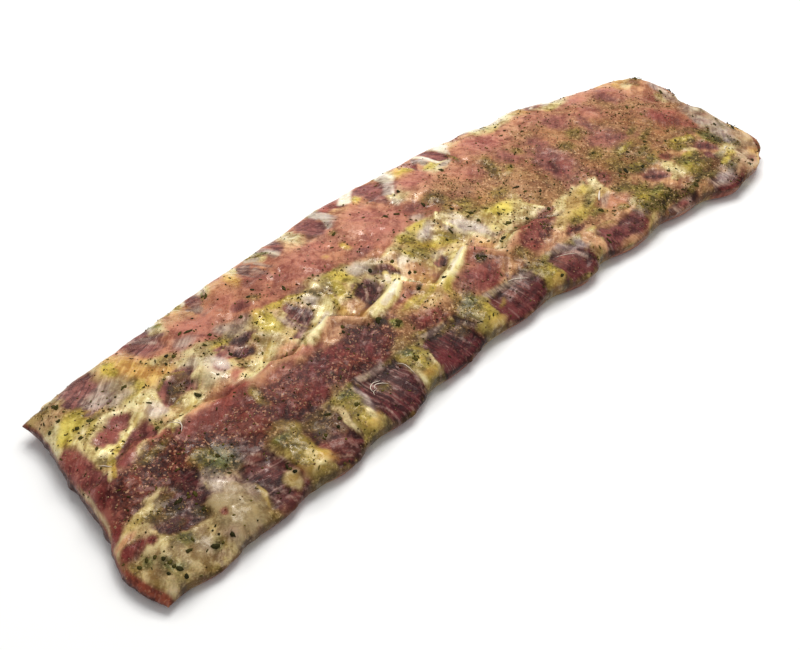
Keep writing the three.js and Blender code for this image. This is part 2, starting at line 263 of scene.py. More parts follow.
front_edge = through([[-203, -63.2], [-190, -64.6], [-172, -64.4], [-156, -63.4], [-139, -61.4], [-128, -61],
                      [-116, -62.2], [-106, -61], [-96, -59.4], [-80, -58.9], [-62, -56.8], [-52, -55],
                      [-44, -54.8], [-30, -52.8], [-10, -51.6], [10, -51], [28, -51.8], [38, -53.6],
                      [50, -54.2], [66, -52.3], [84, -53.8], [96, -54.8], [104, -54], [112, -52.8],
                      [128, -55.4], [140, -57.4], [149, -60], [158, -62.2], [170, -61.6], [188, -56.8]])
back_edge = through([[-193, 41], [-180, 43.8], [-166, 47.4], [-139, 51], [-115, 54.2], [-90, 58], [-67, 60.4],
                     [-40, 62.8], [-6, 66.8], [20, 66.4], [38, 65.8], [62, 65.6], [78, 63.2], [90, 62.6],
                     [104, 59.2], [118, 59.4], [126, 57.6], [142, 52.2], [152, 48.9], [166, 46.2],
                     [180, 42], [190, 39.4], [203, 34.5]])
near_end = through([[0, -198.6], [0.1, -202.4], [0.19, -203], [0.27, -200.6], [0.35, -196.4],
                    [0.48, -193.2], [0.62, -191], [0.72, -189.4], [0.8, -186.8], [0.91, -184.8],
                    [1, -185.8]])
far_end = through([[0, 187], [0.08, 196], [0.19, 198.4], [0.3, 197.4], [0.38, 197.8], [0.455, 198.4],
                   [0.58, 195.6], [0.66, 198.4], [0.74, 199.6], [0.86, 199.6], [1, 199.6]])
RACK_LENGTH = 395.0
RACK_WIDTH = 116.0
MIDDLE = (-1.72, 0.41)
print("front edge at the middle:", round(float(front_edge(0.0)), 1), "mm")

# %% Where the ribs lie
RIB_FRONT = np.array([-189, -160, -122, -90, -52, -12, 30, 64, 103, 138, 169], float)
RIB_BACK = np.array([-170, -144, -112, -80, -44, -7, 36, 77, 112, 142, 168], float)
END_PITCH = 32.0
FRONT_SCALLOP = 2.2
BACK_SCALLOP = 1.8


def rib_phase(x, v):
    """Ribs passed up to x: each gap between two ribs adds the share of it that lies before x."""
    at = RIB_FRONT + (RIB_BACK - RIB_FRONT) * np.asarray(v, float)[..., None]
    between = np.clip((x[..., None] - at[..., :-1]) / np.diff(at, axis=-1), 0, 1).sum(-1)
    before = np.minimum(0, (x - at[..., 0]) / END_PITCH)
    after = np.maximum(0, (x - at[..., -1]) / END_PITCH)
    return between + before + after


def front_line(x):
    """The front edge with a bulge between every two ribs, a raised cosine of the rib phase."""
    wave = 1 - np.cos(2 * np.pi * rib_phase(x, np.zeros_like(x)))
    return front_edge(x) - FRONT_SCALLOP * wave / 2


def back_line(x):
    """The back edge, drawn in at every rib by a cosine of the rib phase."""
    return back_edge(x) - BACK_SCALLOP * np.cos(2 * np.pi * rib_phase(x, np.ones_like(x))) / 2


def plan(u, v):
    """A point of the plan: x goes from the near to the far end by u, y from front to back by v."""
    x = near_end(v) + (far_end(v) - near_end(v)) * u
    y = front_line(x) + (back_line(x) - front_line(x)) * v
    return x, y


print("ribs:", len(RIB_FRONT), "with a mean pitch of", round(float(np.diff(RIB_FRONT).mean()), 1), "mm")

# %% The skirt muscle
skirt_front = through([[-203, -34], [-180, -31], [-162, -35], [-147, -38], [-60, -37], [0, -37],
                       [45, -37.5], [75, -41], [100, -46]])
skirt_lip = through([[-203, -14], [-166, -7], [-137, -8.4], [-108, -10.4], [-74, -8], [-37, -11.6],
                     [0, -16.4], [40, -20], [80, -26]])
lip_climb = through([[-203, 2], [-166, 3], [-137, 3], [-108, 4], [-74, 9], [-37, 11], [0, 16],
                     [40, 8], [80, 4]])
skirt_height = through([[-203, 1.6], [-186, 2.4], [-60, 3.4], [0, 3.2], [40, 2.8], [70, 1.4], [95, 0]])
LIP_LEAD = 0.2
LIP_FALL = 0.28
LIP_HEIGHT = 1.5


def lip_line(x):
    """The lip of fat climbs slowly from rib to rib and drops back steeply, as a saw of the phase."""
    phase = rib_phase(x, np.full_like(x, 0.5)) + LIP_LEAD
    part = phase - np.floor(phase)
    saw = np.minimum(part / (1 - LIP_FALL), (1 - part) / LIP_FALL)
    return skirt_lip(x) + lip_climb(x) * (saw - 0.5)


print("lip at the middle:", round(float(lip_line(np.zeros(1))[0]), 1), "mm")

# %% [markdown]
# ## The height of the slab
#
# The slab is thickest behind its middle and thins to the ends. A low hump follows each rib, the
# meat between two ribs is sunken in three rows of windows, and the skirt muscle stands proud.
# The top is one height over the plan, so all of it is one formula on whole arrays.

# %% Heights of the top and the bottom
thickness = through([[0, 9.8], [0.06, 12], [0.18, 13.4], [0.3, 14.4], [0.5, 16.8], [0.7, 18],
                     [0.86, 17], [0.95, 14.6], [1, 11.5]])
end_thinning = through([[0, 0.72], [0.05, 0.84], [0.18, 0.96], [0.5, 1], [0.8, 1], [0.93, 0.92],
                        [1, 0.76]])
RIM_ROUNDNESS = 2.4
UNDERCUT = 9.0
RIB_HUMP = 1.5
HUMP_START = 16.0
CORNER_LIFT = 2.0
RIM_LEVEL = 3.6
RIM_ALONG = 3.0
RIM_ACROSS = 1.6
# Each row of windows: where it starts and ends inwards of its line, its depth, and the x where it fades.
WINDOWS = {
    "front": (1.5, 25.0, 1.8, 400.0),
    "lip": (2.0, 22.0, 1.6, 30.0),
    "back": (1.5, 24.0, 1.6, 80.0),
}


def rise(distance, radius, roundness=RIM_ROUNDNESS):
    """A quarter round: 0 at the rim, 1 at the radius from it, and blunter the higher its power."""
    t = 1 - np.clip(distance / radius, 0, 1)
    return (1 - t ** roundness) ** (1 / roundness)


def corner_lift(u, v):
    """The two back corners curl up from the table."""
    return (CORNER_LIFT * (1 - u) ** 8 + CORNER_LIFT * u ** 12) * v ** 2


def rim_height(u, v):
    """Height of the rim, where top and bottom meet: it climbs a little along and across."""
    return RIM_LEVEL + RIM_ALONG * u + RIM_ACROSS * v + corner_lift(u, v)


def opened(u, v, front, back, near, far, front_roundness=RIM_ROUNDNESS):
    """The product of the rises from all four sides, each with its own radius."""
    along = rise(u * RACK_LENGTH, near) * rise((1 - u) * RACK_LENGTH, far)
    across = rise(v * RACK_WIDTH, front, front_roundness) * rise((1 - v) * RACK_WIDTH, back)
    return along * across


def chance(a, b):
    """A fixed number from 0 to 1 for each pair of whole numbers: the fraction of a large sine."""
    wave = np.sin(a * 12.9898 + b * 78.233) * 43758.5453
    return wave - np.floor(wave)


def window_depth(x, y, v):
    """How far the meat between the ribs is sunken, as the sum of the three rows."""
    phase = rib_phase(x, v)
    part = phase - np.floor(phase)
    between = smooth(0.14, 0.34, part) * fall(0.68, 0.86, part)
    inward = {"front": y - front_line(x), "lip": y - lip_line(x), "back": back_line(x) - y}
    depth = np.zeros_like(x)
    for index, (row, (start, end, deep, fade)) in enumerate(WINDOWS.items()):
        room = skirt_front(x) - front_line(x) + 2 if row == "front" else end
        last = np.minimum(end, room)
        in_row = smooth(start, start + 4, inward[row]) * fall(last - 5, last, inward[row])
        strength = 0.6 + 0.4 * chance(np.floor(phase), index)
        depth += deep * between * in_row * strength * fall(fade - 20, fade + 20, x)
    return depth


def skirt_relief(x, y):
    """The skirt muscle rises softly at its front border and drops steeply past a crest at its lip."""
    lip = lip_line(x)
    height = skirt_height(x)
    body = smooth(-3, 12, y - skirt_front(x)) * fall(-1.5, 3.5, y - lip)
    crest = np.exp(-(((y - lip + 2.5) / 3) ** 2))
    return height * body + LIP_HEIGHT * crest * (0.4 + 0.6 * smooth(-115, -80, x)) * np.clip(height / 2, 0, 1)


print("thickest:", round(float(thickness(np.array([0.7]))[0]), 1), "mm")

# %% [markdown]
# ## Noise to make it uneven
#
# Nothing in meat is straight. A net of random numbers, eased from knot to knot, gives a soft
# uneven field. It pushes the painted borders about, roughens the relief and tears the cut edges.

# %% A net of random numbers
NET = np.random.default_rng(7).uniform(-1, 1, (256, 256))


def noise(x, y, size, shift=0):
    """Soft noise from -1 to 1: the numbers of a square net of that mesh size, eased between."""
    p = x / size + 17.3 * shift
    q = y / size + 5.9 * shift
    i = np.floor(p).astype(int)
    j = np.floor(q).astype(int)
    s = smooth(0, 1, p - i)
    t = smooth(0, 1, q - j)
    low = NET[i % 256, j % 256] * (1 - s) + NET[(i + 1) % 256, j % 256] * s
    high = NET[i % 256, (j + 1) % 256] * (1 - s) + NET[(i + 1) % 256, (j + 1) % 256] * s
    return low * (1 - t) + high * t


def clouds(x, y, size, shift=0):
    """Three layers of noise, each half as large and half as strong as the one before."""
    layers = [noise(x, y, size / 2 ** k, shift + k) / 2 ** k for k in range(3)]
    return sum(layers) / 1.75


print("net of", NET.size, "numbers")

# %% [markdown]
# ### The grid
#
# The top has about 0.7 mm between its points, fine enough for fat ridges and crumbs of rub. The
# bottom is flat, so every fourth line does there. Both share the rim, which closes the mesh.

# %% Points of the top and the bottom
ALONG = 580
ACROSS = 148
COARSE = 4
RIM_STEPS = np.array([0.0, 0.12, 0.48, 1.08])


def grid_lines(length, cells):
    """Shares of the way at which lines lie: three close ones at both rims, and even ones between."""
    rim = RIM_STEPS / length
    inner = np.linspace(rim[-1], 1 - rim[-1], cells - 2 * (len(rim) - 1) + 1)
    return np.concatenate([rim[:-1], inner, 1 - rim[:-1][::-1]])


u_lines = grid_lines(RACK_LENGTH, ALONG)
v_lines = grid_lines(RACK_WIDTH, ACROSS)
top_u, top_v = (a.ravel() for a in np.meshgrid(u_lines, v_lines, indexing="ij"))
low_u, low_v = (a.ravel() for a in np.meshgrid(u_lines[COARSE:-1:COARSE], v_lines[COARSE:-1:COARSE],
                                               indexing="ij"))
U = np.concatenate([top_u, low_u])
V = np.concatenate([top_v, low_v])
under = np.concatenate([np.zeros(len(top_u)), np.ones(len(low_u))])
plan_x, plan_y = plan(U, V)
X = plan_x - MIDDLE[0]
Y = plan_y - MIDDLE[1]
print("points on top:", len(top_u), "and below:", len(low_u))

# %% [markdown]
# ## Painting the tissues
#
# Seen close, the rack is a patchwork: dark muscle in windows between the ribs, lips of cream fat,
# bluish silverskin, yellow oil and olive herb paste. Each tissue is one row of numbers: its lighter
# and deeper colour, how far it swells, and how fibrous, crumbly and wet it is. Painting a tissue
# blends the whole row into the points under the brush, so its colour, relief and gloss stay together.

# %% The tissues
LIGHT = np.array([0.74, 0.73, 0.70])
TISSUES = {
    "salmon": ("dc9a80", "985a48", 0.0, 0.4, 0.15, 0.6),
    "rosy": ("d28c7a", "8c4e46", 0.0, 0.4, 0.15, 0.6),
    "tan": ("d2a27a", "865a3a", 0.1, 0.1, 0.8, 0.2),
    "rust": ("cc8c66", "844e38", 0.0, 0.3, 0.5, 0.4),
    "mauve": ("ae6864", "663438", -0.1, 0.4, 0.2, 0.5),
    "crimson": ("924040", "42120f", 0.0, 0.5, 0.3, 0.35),
    "mince": ("984e3e", "321010", 0.0, 0.15, 0.8, 0.35),
    "plum": ("6a3034", "240a0e", -0.25, 0.8, 0.1, 0.35),
    "grape": ("a86c68", "583034", -0.2, 0.9, 0.0, 0.6),
    "violet": ("ccb0a8", "6c4a48", -0.1, 0.8, 0.0, 0.9),
    "cream": ("fcf0be", "9c7e4a", 0.4, 0.4, 0.2, 0.8),
    # Ivory is the palest fat; its lines along the lip crests are also painted highlights.
    "ivory": ("fffacc", "c4ac68", 0.4, 0.6, 0.0, 0.9),
    "plain": ("c4b490", "8c7a5c", 0.4, 0.2, 0.1, 0.7),
    "yellow": ("ecd664", "8a7620", 0.4, 0.3, 0.2, 0.9),
    "raw": ("b8625a", "7a3630", 0.0, 0.4, 0.1, 0.5),
    "lemon": ("f8ec84", "b8a43e", 0.4, 0.3, 0.1, 0.9),
    "pink": ("d0867a", "904a46", 0.0, 0.4, 0.1, 0.6),
    "oil": ("ac9a3c", "54481a", 0.4, 0.2, 0.4, 0.8),
    "olive": ("a89240", "44380f", 0.4, 0.1, 0.7, 0.5),
    "moss": ("766824", "1e1c0a", 0.5, 0.1, 0.9, 0.4),
    "gold": ("fcd680", "b4803a", 0.4, 0.6, 0.0, 0.9),
    "peach": ("f0be94", "a06a4c", 0.2, 0.6, 0.0, 0.8),
    "silver": ("dcccc4", "8a7470", 0.2, 0.8, 0.0, 1.0),
    # White is white membrane, and where it is dabbed on wet fat and skin it is a painted glint.
    "white": ("fffcf4", "dccdb8", 0.2, 0.5, 0.0, 1.0),
    "green": ("8a9640", "343c16", 0.4, 0.2, 0.6, 0.8),
    "rind": ("9c503c", "501e18", 0.0, 0.5, 0.3, 0.5),
    "wine": ("7e343c", "360f18", -0.1, 0.3, 0.15, 0.5),
    "straw": ("e8cc8c", "a07c44", 0.4, 0.3, 0.3, 0.8),
    "lilac": ("e6dcde", "9a8890", 0.2, 0.5, 0.0, 1.0),
    "soot": ("3c3416", "120e08", 0.2, 0.0, 0.8, 0.2),
    "skin": ("ecd2b2", "a8886c", 0.2, 0.3, 0.0, 0.8),
}
# These four are painted lighter than their codes, as a painted sheen: under this lamp the wettest
# fat and skin look nearly white.
PAINTED_SHEEN = {"ivory": 1.14, "white": 1.12, "lemon": 1.08, "lilac": 1.08}


def tissue_row(name, light, deep, *rest):
    """The ten numbers of a tissue: its two colours as linear light, then how it swells and feels."""
    # The four wettest tissues get their painted sheen here.
    scale = LIGHT * PAINTED_SHEEN.get(name, 1.0)
    return np.array([*(scale * np.array(tint(light)[:3])), *(scale * np.array(tint(deep)[:3])), *rest])


ROWS = {name: tissue_row(name, *settings) for name, settings in TISSUES.items()}
coating = np.zeros((len(X), 10))
print("tissues:", ", ".join(TISSUES))

# %% Brushes
warp_x = X + 1.2 * noise(X, Y, 9, 1) + 0.6 * noise(X, Y, 3.4, 2)
warp_y = Y + 1.2 * noise(X, Y, 9, 3) + 0.6 * noise(X, Y, 3.4, 4)
torn_edge = 0.16 * noise(X, Y, 2.6, 6) + 0.10 * noise(X, Y, 1.4, 7)
pen_x = X + 0.6 * noise(X, Y, 9, 1)
pen_y = Y + 0.6 * noise(X, Y, 9, 3)


def paint(tissue, mask, strength=1.0):
    """Blends the row of a tissue into every point, by a mask from 0 to 1."""
    global coating
    coating = coating + (ROWS[tissue] - coating) * (mask * strength)[:, None]


def wash(scale, mask):
    """Multiplies both colours of every point by three numbers, by a mask from 0 to 1."""
    coating[:, :6] *= np.tile(1 + (np.array(scale) - 1) * mask[:, None], 2)


def patch(x, y, half_x, half_y, turn=0, blur=0.35, power=2.0):
    """An oval: 1 inside and 0 outside, by the distance from its middle in units of its half sizes.
    A power above 2 makes it boxier."""
    c, s = np.cos(np.radians(turn)), np.sin(np.radians(turn))
    p = np.abs((warp_x - x) * c + (warp_y - y) * s) / half_x
    q = np.abs((warp_y - y) * c - (warp_x - x) * s) / half_y
    return fall(1 - blur, 1 + blur, (p ** power + q ** power) ** (1 / power) + torn_edge)


def stroke(points, width, blur=0.45):
    """A line with a width: 1 near it, by the least distance to its straight pieces."""
    least = np.full(len(X), 1e9)
    for (x0, y0), (x1, y1) in zip(points, points[1:]):
        dx, dy = x1 - x0, y1 - y0
        t = np.clip(((pen_x - x0) * dx + (pen_y - y0) * dy) / (dx * dx + dy * dy), 0, 1)
        least = np.minimum(least, np.hypot(pen_x - x0 - t * dx, pen_y - y0 - t * dy))
    return fall(1 - blur, 1 + blur, 2 * least / width + 0.6 * torn_edge)


def dabs(tissue, *spots, blur=0.35, strength=1.0, power=2.0):
    """Oval dabs of one tissue: each has its place, its half sizes and, if turned, its degrees."""
    for spot in spots:
        paint(tissue, patch(*spot, blur=blur, power=power), strength)


def lines(tissue, width, *routes, strength=1.0):
    """Strokes of one tissue and width, each along a few points."""
    for route in routes:
        paint(tissue, stroke(route, width), strength)


def drift(size, shift, low=0.0, high=0.5):
    """A cloudy mask: 1 where the clouds of that size are above high, 0 below low."""
    return smooth(low, high, clouds(X, Y, size, shift))


print("brushes ready")

# %% [markdown]
# ### The ground
#
# First the broad zones. Salmon meat lies behind the ribs, and on the far half the rub has cured it
# to a tan crust. The skirt muscle is dark and crumbly, and clean and redder just under its lip.
# Cream fat covers the middle and the ribs in front of the skirt.

# %% Broad zones
lip = lip_line(plan_x)
middle_top = through([[-205, 62], [-150, 56], [-135, 34], [-122, 24], [-105, 19], [-90, 18], [-60, 20],
                      [-45, 20], [-30, 14], [-20, 10], [-5, 14], [5, 17], [20, 16], [30, 12], [40, 3],
                      [58, 0], [66, -14]])
skirt = smooth(-1.5, 1.5, plan_y - skirt_front(plan_x)) * fall(-2.5, -0.5, plan_y - lip)
middle = smooth(-1.0, 1.0, plan_y - lip) * fall(-2.0, 2.0, warp_y - middle_top(X))
middle = middle * fall(60, 66, warp_x)
ahead = fall(-1.5, 1.5, plan_y - skirt_front(plan_x)) * fall(98, 108, X)
cured = smooth(22, 48, warp_x) * fall(24, 42, warp_y + 4 * noise(X, Y, 20, 8))
paint("salmon", np.ones(len(X)))
paint("rosy", drift(22, 50), 0.75)
paint("peach", drift(13, 51, 0.1, 0.6) * smooth(26, 40, Y), 0.55)
paint("tan", smooth(-120, 30, X) * fall(16, 34, Y) * drift(9, 49), 0.5)
paint("tan", cured)
paint("rust", cured * drift(17, 52, -0.1, 0.5), 0.75)
paint("mauve", cured * drift(15, 53, 0.15, 0.55), 0.45)
paint("olive", cured * drift(7, 54, 0.05, 0.6) * (0.45 + 0.55 * smooth(-5, -25, Y)), 0.6)
paint("peach", cured * smooth(5, 25, Y), 0.2)
paint("peach", smooth(28, 44, Y) * smooth(-20, 20, X) * drift(10, 72, -0.3, 0.4), 0.4)
paint("cream", middle)
paint("peach", middle * drift(10, 55, 0.0, 0.5), 0.65)
paint("silver", middle * drift(8, 56, 0.15, 0.6), 0.6)
paint("tan", middle * drift(5, 64, 0.15, 0.55), 0.25)
paint("straw", middle * drift(9, 57, -0.1, 0.5), 0.8)
paint("olive", middle * drift(6, 58, 0.2, 0.6), 0.6)
paint("mauve", middle * drift(4, 65, 0.3, 0.7), 0.5)
paint("peach", skirt * smooth(-45, -15, X))
paint("mince", skirt * fall(-40, -20, X))
clean = smooth(-9, -4, plan_y - lip) * smooth(-152, -144, X) * fall(-58, -50, X)
paint("crimson", skirt * clean * fall(-105, -85, X))
paint("peach", skirt * clean * smooth(-125, -105, X), 0.8)
paint("cream", ahead)
paint("oil", ahead * smooth(-130, -122, X), 0.8)
paint("yellow", ahead * drift(8, 59, -0.1, 0.4), 0.4)
paint("olive", ahead * drift(6, 60, 0.1, 0.5), 0.7)
paint("tan", ahead * drift(5, 66, 0.1, 0.5) * smooth(30, 60, X), 0.5)
print("middle covers", round(float(middle[:len(top_u)].mean()), 2))

# %% [markdown]
# ### The back edge
#
# Between the ribs purple muscle shows in narrow windows. Each rib's end is wrapped in stretched
# white and golden membrane, whose folds run out over the edge.

# %% Windows and membranes at the back
dabs("gold", (-140, 29, 7, 12, -20), (-143, 40, 4, 7, -20), (-104, 50, 5, 7, -30), (-73, 46, 4, 7, -25),
     (-69, 54, 3, 6, -20), (36, 52, 6, 5), (42, 55, 5, 3, 30), (77, 53, 6, 5), (118, 49, 11, 5, -15),
     (126, 54, 5, 2, 20), (185, 31, 8, 5, 35), (178, 36, 9, 3, 35), (8, 52, 5, 2, 40), blur=0.6)
dabs("cream", (-112, 49, 3, 7, -20), (-117, 42, 3, 6), (-100, 54, 4, 3, -20), (-84, 52, 2.4, 7, -20),
     (-66, 55, 3, 5, -30), (-52, 55, 4, 6, -20), (-45, 60, 6, 2.4, 10), (-34, 52, 5.5, 10, -20),
     (-9, 62, 4, 3, 20), (32, 57, 3, 7, -30), (37, 62, 6, 2.4), (22, 41, 7, 4, 20), (54, 44, 8, 5, 10),
     (71, 58, 5, 5), (95, 52, 6, 6, -20), (105, 54, 7, 6, -15), (112, 51, 6, 5), (140, 42, 10, 5, -15),
     (146, 47, 8, 4, -20), (163, 44, 6, 3, -20))
dabs("peach", (-134, 38, 3, 8, -10), (-108, 44, 5, 5, -20), (-98, 44, 4, 5), (-80, 51, 3, 8, -25),
     (-58, 40, 4, 6, -10), (-39, 50, 3, 8, -20), (-30, 45, 4, 5), (-6, 50, 5, 4, 20), (26, 34, 6, 5),
     (84, 53, 5, 4, 20), (165, 46, 4, 3, -30), (185, 18, 8, 8, 30), (196, 20, 5, 8), blur=0.6)
dabs("rosy", (-78, 56, 4, 3, -20), (-49, 54, 3, 4, -20), (0, 61, 9, 3.4, 10), (-5, 57, 5, 4),
     (80, 57, 5, 3, 20), (48, 56, 5, 2.4, 40), (44, 60, 4, 3, 30), (143, 53, 6, 1.8, -15))
dabs("grape", (-160, 37, 8.5, 9, -15), (-156, 44, 6, 5, -10), (-167, 31, 4, 5), (-126, 42, 6.5, 10.5, 8),
     (-120, 49, 5, 4), (-92, 50, 2.6, 6.5, -12), (-96, 41, 2, 6, -15), (-63, 50, 2.8, 7.5, -15),
     (-61, 41, 2.2, 6), (-43, 51, 3, 6, -20), (-41, 58, 3.4, 4, -30), (-20, 55, 6, 8.5, -8),
     (-26, 45, 4, 6.5, -20), (19, 57, 6.5, 8, -12), (15, 46, 3.6, 7, -12), (24, 50, 3, 6, -10),
     (63, 54, 4.4, 9.5), (132, 47, 4.5, 4, 20))
dabs("crimson", (-2, 55, 2.4, 6, 8), (-130, 50, 3, 3), (-118, 51, 4, 2), (47, 52, 6, 1.8, 48))
lines("violet", 2.2, [(-128, 50), (-122, 38)], [(-123, 45), (-118, 38)], [(-98, 46), (-94, 36)],
      [(-60, 46), (-61, 34)], [(-57, 50), (-55, 42)], [(-43, 56), (-38, 62)], [(-93, 38), (-91, 33)],
      [(27, 55), (22, 44)], [(20, 42), (28, 50)], [(-12, 56), (-15, 47)], [(52, 56), (56, 62)])
dabs("silver", (-159, 25, 7, 4), (-150, 30, 5, 5), (-56, 55, 3, 4), (-12, 50, 2.4, 6, -10),
     (26, 48, 3.4, 5, -30), (19, 37, 4, 3), (90, 58, 3, 2), (105, 57, 5, 4, -15), (130, 52, 5, 2.4, -20),
     (145, 46, 8, 3, -18), (36, 61, 4, 2, 10), (54, 54, 2.4, 5, -15), (58, 42, 4, 2))
# White strokes on the back edge are white membrane, with painted glints where it is wet.
lines("white", 2.0, [(-113, 54), (-115, 47)], [(-94, 56), (-97, 52)], [(-84, 57), (-87, 49)],
      [(-49, 52), (-48, 45)], [(-13, 60), (-13, 52), (-17, 45)], [(31, 64), (29, 54)], [(58, 62), (58, 50)],
      [(68, 54), (67, 48)], [(137, 49), (131, 47)], [(150, 49), (140, 45)])
lines("white", 4.4, [(11, 65), (8, 58), (2, 52)], [(-34, 60), (-36, 50)], [(94, 59), (102, 58)])
# Painted glints: small white dabs on the wet membrane.
dabs("white", (-39, 61, 7, 1.6, 5), (73, 61, 5, 2), (99, 58, 6, 3.4, -15), (107, 58, 3, 2.4),
     (161, 43, 3.6, 2, -15), (37, 63, 6, 1.4), (123, 58, 6, 1.4, -20), blur=0.6)
lines("olive", 1.6, [(-117, 52), (-114, 44)], [(-102, 56), (-107, 48)], [(-56, 58), (-52, 52)],
      [(-15, 62), (-13, 56)], [(28, 62), (31, 58)], [(66, 48), (64, 38)], [(122, 55), (127, 51)],
      [(143, 51), (137, 46)], [(155, 49), (147, 45)], [(98, 55), (101, 52)])
dabs("yellow", (-22, 28, 2.2, 3.6), (-36, 28, 2, 2), (9, 53, 3, 1.6, 40), (40, 51, 5, 2), (53, 46, 4, 3),
     (100, 49, 5, 4), (138, 39, 5, 2), (-100, 53, 2, 3, -20), blur=0.6, strength=0.85)
dabs("mauve", (-93, 51, 2.4, 6, -12), (-20, 53, 5, 9, -8), (20, 54, 5.6, 9, -12), (63, 54, 4, 8.4),
     blur=0.3, strength=0.75)
dabs("violet", (-61, 42, 2.0, 7), (-95, 42, 2, 6, -15), (-62, 52, 2, 5, -15), blur=0.6, strength=0.6)
dabs("peach", (-37, 48, 4.4, 8, -20), (-30, 43, 4, 4), (188, 26, 7, 8, 30), (180, 36, 8, 3, 35), blur=0.7,
     strength=0.8)
dabs("cream", (-34, 53, 4.6, 10, -20), (74, 54, 5, 5), (102, 50, 12, 4, -10), (116, 51, 8, 5, -15),
     (139, 42, 9, 4, -15), (33, 56, 3, 6, -30), (148, 42, 6, 3, -20), (24, 38, 7, 3, 10), blur=0.6,
     strength=0.85)
dabs("raw", (-3, 60, 8, 3.4, 12), (-8, 57, 4, 4), (46, 57, 4, 2.4, 40), (136, 47, 4, 3, 20), blur=0.6,
     strength=0.8)
lines("white", 5.6, [(14, 66), (8, 60), (1, 53)], [(33, 63), (30, 52)], [(73, 62), (70, 54)])
lines("white", 2.4, [(58, 62), (58, 46)], [(68.5, 60), (68, 50)], [(-14, 64), (-13, 52), (-17, 44)],
      [(29, 60), (27, 48), (22, 42)])
lines("rind", 1.6, [(46, 62), (40, 54)], [(50, 63), (44, 52)], [(86, 61), (80, 53)], [(82, 60), (77, 53)],
      strength=0.6)
lines("silver", 4.6, [(30, 58), (27, 50), (20, 44)], [(-13, 62), (-12, 52), (-17, 44)],
      [(-50, 58), (-48, 46)], [(150, 50), (138, 44)], strength=0.8)
# White membrane at the rib ends, partly painted glints.
dabs("white", (98, 57, 6.4, 4.4, -15), (108, 55, 7, 4, -15), (119, 56, 7, 3, -15), (143, 47, 6, 2.4, -18),
     (153, 46, 5, 2, -18), (161, 43, 4, 2.4, -15), (-86, 53, 2, 5, -25), (-115, 50, 1.6, 5, -25), blur=0.6,
     strength=0.85)
lines("violet", 1.4, [(24, 54), (28, 46), (22, 40)], [(100, 60), (108, 52)], [(112, 59), (104, 52)],
      [(140, 50), (132, 46)], [(148, 49), (142, 43)], [(156, 48), (150, 43)], [(-84, 56), (-89, 44)],
      [(-66, 52), (-64, 38)], strength=0.7)
lines("green", 1.4, [(-117, 51), (-115, 43)], [(-87, 51), (-90, 46)], [(-52, 57), (-50, 50)],
      [(101, 53), (98, 49)], [(-174, 42), (-176, 36)], strength=0.7)
print("back edge painted")

# %% Salmon meat
dabs("salmon", (-108, 33, 10, 7), (-84, 38, 8, 8), (-8, 38, 12, 8, 20), (36, 41, 11, 7), (79, 44, 11, 8),
     (84, 37, 10, 6), (118, 38, 11, 7), (157, 36, 9, 5), (60, 31, 8, 6), (142, 20, 7, 6), blur=0.7)
dabs("pink", (-52, 34, 13, 9), (-105, 33, 9, 6), (-42, 26, 8, 6), (0, 38, 10, 6, 20), (5, 27, 14, 5, 10),
     (84, 40, 12, 8), (36, 42, 9, 5), (-88, 36, 6, 5), (128, 28, 8, 5), (-120, 22, 5, 4), blur=0.7,
     strength=0.8)
dabs("rosy", (-110, 26, 8, 5), (2, 22, 14, 4, 10), (-68, 27, 8, 4), (-33, 38, 6, 5), (170, 30, 6, 5),
     (10, 30, 6, 4), blur=0.7)
dabs("pink", (-44, 32, 8, 9), (-8, 24, 10, 5, 10), (60, 24, 7, 5), (150, 34, 7, 4), (148, 24, 7, 5),
     (172, 20, 8, 7), (88, 22, 8, 6, 20), (-125, 18, 4, 3), (182, 8, 8, 6), blur=0.7, strength=0.6)
dabs("mauve", (97, 4, 9, 14, -5), (84, 23, 7, 6, 30), (98, 5, 8, 11, -10), (103, 20, 4, 7), (126, 27, 6, 7),
     (165, 25, 3, 7), (135, 14, 2.4, 6, -20), (132, 2, 8, 7), (139, -5, 4, 4), (-58, 19, 5, 3),
     (22, 27, 4, 5), (-22, 20, 7, 3), blur=0.6, strength=0.8)
dabs("raw", (175, -10, 10, 9, 10), (178, -21, 8, 5, 10), (168, -4, 4, 4), blur=0.5, strength=0.8)
dabs("crimson", (172, -10, 5, 6, 20), (105, -19, 3.6, 6, 10), (144, -30, 6, 2.6, 10), (97, 1, 5, 5),
     blur=0.55, strength=0.7)
dabs("olive", (-97, 21, 5, 4), (-77, 28, 3, 3), (-20, 38, 2, 2), (33, 20, 4.6, 7), (30, 26, 4, 3),
     (91, 23, 3, 3.4), (71, 22, 3, 8, -20), (75, 15, 5, 1.8, 28), (60, 6, 5, 5), (118, -5, 6, 4, 20),
     (40, 12, 5, 4), (112, 8, 5, 4, 30), (132, -12, 9, 4), (125, 14, 5, 5), (120, -17, 6, 6, 30),
     (150, -12, 8, 2.4, 20), (108, -30, 6, 4), (140, -19, 6, 2, 10), (148, -4, 6, 2, 20), blur=0.7,
     strength=0.8)
print("meat painted")

# %% [markdown]
# ### The middle
#
# This is where the ribs' membrane was pulled off. Fat, bits of bluish skin and small dark
# windows alternate, rub has run into the hollows, and every lip of fat is a pale crest.

